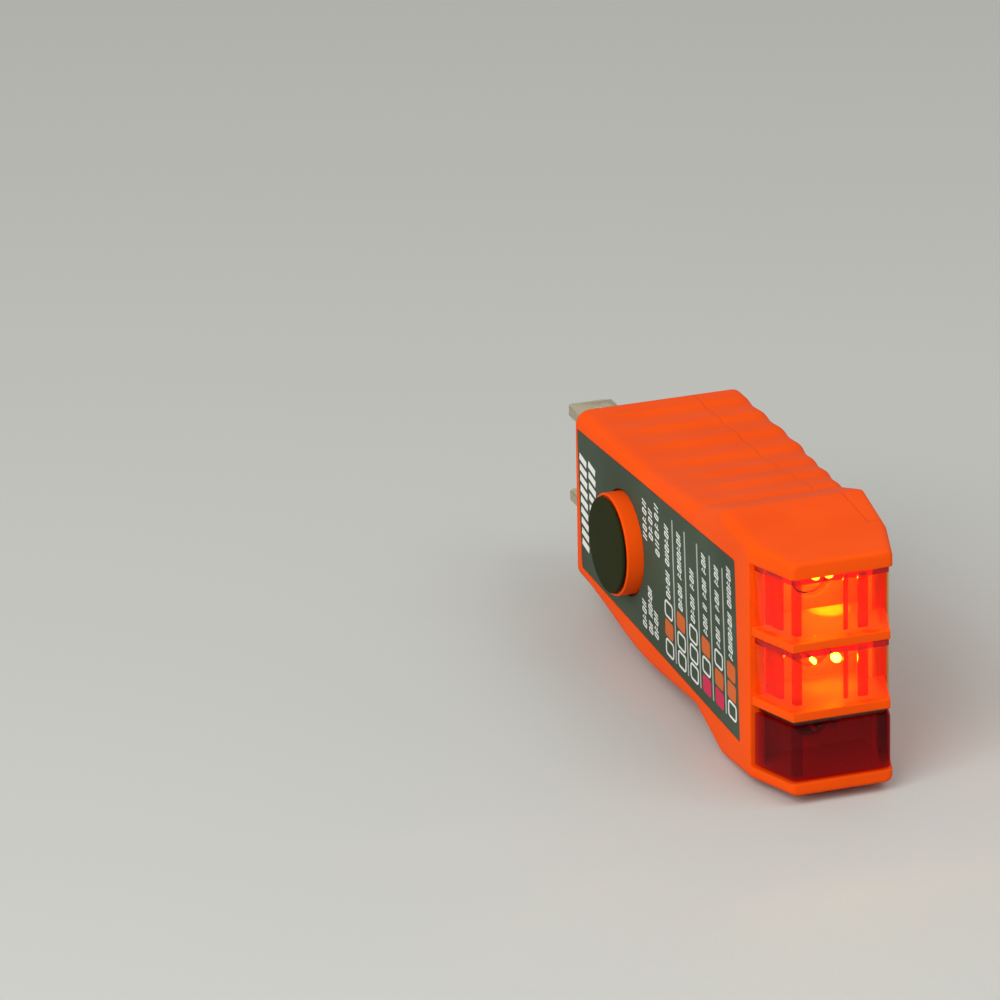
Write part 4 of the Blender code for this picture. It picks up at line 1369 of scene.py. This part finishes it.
def makeProngs():
    edge, tail, shoulder = prongShape["edge"], prongShape["tail"], prongShape["shoulder"]
    for node, name in (("blade_hot", "bladeHot"), ("blade_neutral", "bladeNeutral")):
        refined(node, name, edge, prongMetal, "prong_brass", segments=3)
    low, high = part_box("ground_pin")
    x, _, z = centreOf("ground_pin")
    radius = (high.x - low.x) / 2
    root = high.y - radius
    profile = [(low.y, 0.0), (low.y, tail), (shoulder, tail), (shoulder, radius), (root, radius)]
    profile = rounded(profile, prongShape["tailEdge"]) + dome(root, radius, radius, 12)
    pin = turned(profile, alongY(x, z), 64)
    smoothPiece("groundPin", pin, prongMetal, 50, "prong_brass", "ground_pin")
    refined("prong_block", "prongBlock", 0.25 * mm, blockPlastic, "block_plastic")


def screwTree():
    others = {"Screw": "Object", "Count": "Int"}
    tree, graph, given = newTree("caseScrews", ("Spacing",), others)
    offset = graph.add("ShaderNodeCombineXYZ", None, {2: given.other("Spacing")})
    line = {"Count": given.other("Count"), "Offset": offset}
    row = graph.add("GeometryNodeMeshLine", None, line)
    source = {"Object": given.other("Screw")}
    one = graph.add("GeometryNodeObjectInfo", None, source, "Geometry")
    spread = {"Points": row, "Instance": one}
    endTree(graph, given, graph.add("GeometryNodeInstanceOnPoints", None, spread))
    return tree


screwShape = {
    "tip": 1.1 * mm,
    "core": 0.85 * mm,
    "thread": 1.1 * mm,
    "pitch": 0.6 * mm,
    "head": 1.3 * mm,  # from the head's seat to its top
    "headEdge": 0.5 * mm,
    "headRise": 0.8 * mm,
    "arm": 1.55 * mm,
    "armHalf": 0.34 * mm,
}


def makeScrews():
    low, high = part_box("case_screw_lower")
    seat = high.x - screwShape["head"]
    edge, head = seat + screwShape["headEdge"], (high.z - low.z) / 2
    place = low.x + screwShape["tip"]
    body = [(low.x, 0.0), (place, 0.95 * mm)]
    while place < seat - 2 * screwShape["pitch"]:
        body.append((place + screwShape["pitch"] / 2, screwShape["thread"]))
        body.append((place + screwShape["pitch"], screwShape["core"]))
        place += screwShape["pitch"]
    body += [(seat, 0.9 * mm), (seat, head), (edge, head)]
    body += dome(edge, screwShape["headRise"], head, 6)
    screw = fromBmesh("screwOne", turned(body, alongX(0.0, 0.0), 48), screwSteel)
    arm, half = screwShape["arm"], screwShape["armHalf"]
    for name, (dy, dz) in (("A", (arm, half)), ("B", (half, arm))):
        slot = box((edge + 0.05 * mm, -dy, -dz), (seat + 3 * mm, dy, dz))
        carve(screw, "DIFFERENCE", fromBmesh(f"cutDrive{name}", slot))
    clearAway(settle(screw))
    _, y, z = centreOf("case_screw_lower")
    screw.data.transform(Matrix.Translation((0, y, z)))
    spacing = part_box("case_screw_upper")[0].z - low.z
    values = {"Screw": screw, "Count": 2, "Spacing": spacing, "Material": screwSteel}
    screws = grow(pointsObject("caseScrews", []), screwTree(), values)
    bpy.data.objects.remove(screw, do_unlink=True)
    put(screws, bodyName, "steel", "case_screw_upper", "case_screw_lower")


makeProngs()
makeScrews()
print("prongs and screws made")


def paint(node, material):  # inside pieces keep the frame's own shape
    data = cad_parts[node].data
    data.materials.clear()
    data.materials.append(material)


def boardMaterial():
    made, graph, shader = newMaterial("circuitBoard", {"Coat Weight": 0.3})
    where = graph.place()
    _, y, z = graph.split(where)
    lines = ((z / (2.4 * mm)).fraction() > 0.78) * ((y / (21 * mm)).fraction() < 0.8)
    weave = graph.noise(where, 0.5 * mm, 3.0)
    mask = graph.mixColour(weave.smooth(0.3, 0.7), (0.02, 0.16, 0.05), (0.03, 0.2, 0.07))
    colour = graph.mixColour(lines, mask, (0.05, 0.30, 0.11))
    links = {"Base Color": colour, "Roughness": 0.35 + weave * 0.2}
    links["Normal"] = graph.bump(0.4, 0.03 * mm, lines)
    graph.feed(shader, links)
    return made


resistors = {  # colour, width of a band, and each band's place from the middle with its colour
    "Tan": (
        (0.62, 0.42, 0.22),
        0.5 * mm,
        (
            (-1.8 * mm, (0.25, 0.08, 0.02)),
            (-0.7 * mm, (0.02, 0.02, 0.02)),
            (0.4 * mm, (0.7, 0.45, 0.02)),
            (1.8 * mm, (0.5, 0.35, 0.1)),
        ),
    ),
    "Blue": (
        (0.10, 0.26, 0.45),
        0.6 * mm,
        (
            (-1.4 * mm, (0.3, 0.02, 0.02)),
            (0.0, (0.02, 0.02, 0.02)),
            (1.4 * mm, (0.3, 0.1, 0.02)),
        ),
    ),
}
wires = {
    "wire_hot": ("wireBlack", (0.02, 0.02, 0.02)),
    "wire_neutral": ("wireWhite", (0.7, 0.7, 0.66)),
    "wire_ground": ("wireGreen", (0.03, 0.28, 0.08)),
}


def bandedMaterial(name, node):  # dipped body with bands across its length
    colour, width, bands = resistors[name]
    made, graph, shader = newMaterial(f"resistor{name}", {})
    where = graph.place()
    _, y, _ = graph.split(where)
    middle = centreOf(node)[1]
    cloud = graph.noise(where, 1.5 * mm)
    tone = graph.mixColour(cloud, colour, dimmed(colour, 0.85))
    for place, band in bands:
        mask = 1.0 - abs(y - (middle + place)).smooth(0.45 * width, 0.55 * width)
        tone = graph.mixColour(mask, tone, band)
    bump = graph.bump(0.2, 0.05 * mm, cloud)
    graph.feed(shader, {"Base Color": tone, "Roughness": 0.35 + cloud * 0.15, "Normal": bump})
    return made


def rubberMaterial(name, colour):
    second = dimmed(colour, 0.85)
    look = {**insertLook, "colour": colour, "second": second, "worn": colour, "wear": 0.0}
    return mouldedPlastic(name, look)


def paintInside():
    tan = bandedMaterial("Tan", "lamp_resistor_upper")
    paint("test_resistor", bandedMaterial("Blue", "test_resistor"))
    lead = metal("tinnedLead", {**steelLook, "colour": (0.62, 0.58, 0.55)})
    for level in ("upper", "middle", "lower"):
        paint(f"lamp_resistor_{level}", tan)
        for side in ("a", "b"):
            paint(f"lamp_lead_{level}_{side}", lead)
    paint("circuit_board", boardMaterial())
    for node, (name, colour) in wires.items():
        paint(node, rubberMaterial(name, colour))
    for pad in ("contact_pad_line", "contact_pad_ground"):
        paint(pad, contactMetal)


paintInside()
print("inside pieces painted")

studio = {
    "floorColour": (0.545, 0.55, 0.52),
    "floorLevel": -17.75 * mm,
    "floorHalf": 3.0,
    "worldColour": (1.0, 1.0, 0.98),
    "worldStrength": 0.50,
    "view": (-0.3517, -0.9501, 0.3897),
    "angles": (68.83, 1.06, -19.4),
    "lens": 282.208,
    "shift": (0.0111256, 0.0030582),
}
aim = (0.0, -0.04, 0.0)
lamps = (  # name, place, width, watts
    ("keyLight", (-0.56, -0.50, 0.56), 0.60, 5.8),
    ("frontLight", (0.26, -0.34, 0.64), 0.40, 1.1),
    ("leftLight", (-0.75, -0.20, 0.02), 0.45, 1.2),
)


def makeFloor():
    half, level = studio["floorHalf"], studio["floorLevel"]
    build = bmesh.new()
    corners = ((-half, -half), (half, -half), (half, half), (-half, half))
    build.faces.new([build.verts.new((x, y, level)) for x, y in corners])
    constants = {"Roughness": 0.7, "Specular IOR Level": 0.2}
    made, graph, shader = newMaterial("studioFloor", constants)
    cloud = graph.noise(graph.place(), 60 * mm)
    colour = studio["floorColour"]
    graph.feed(shader, {"Base Color": graph.mixColour(cloud, colour, dimmed(colour, 0.985))})
    fromBmesh("studioFloor", build, made)


def makeLights():
    for name, place, width, watts in lamps:
        light = bpy.data.lights.new(name, "AREA")
        light.size = width
        light.energy = watts
        holder = newObject(name, light)
        holder.location = place
        towards = Vector(aim) - Vector(place)
        holder.rotation_euler = towards.to_track_quat("-Z", "Y").to_euler()
    world = bpy.data.worlds.new("studioWorld")
    world.use_nodes = True
    background = world.node_tree.nodes["Background"]
    background.inputs["Color"].default_value = wide(studio["worldColour"])
    background.inputs["Strength"].default_value = studio["worldStrength"]
    bpy.context.scene.world = world


def makeCamera():
    camera = bpy.data.cameras.new("studioCamera")
    camera.lens = studio["lens"]
    camera.sensor_width = 36.0
    camera.shift_x, camera.shift_y = studio["shift"]
    camera.clip_start = 0.01
    holder = newObject("studioCamera", camera)
    holder.location = studio["view"]
    holder.rotation_euler = [math.radians(angle) for angle in studio["angles"]]
    bpy.context.scene.camera = holder
    bpy.context.scene.view_settings.view_transform = "Standard"


makeFloor()
makeLights()
makeCamera()
print("studio made")
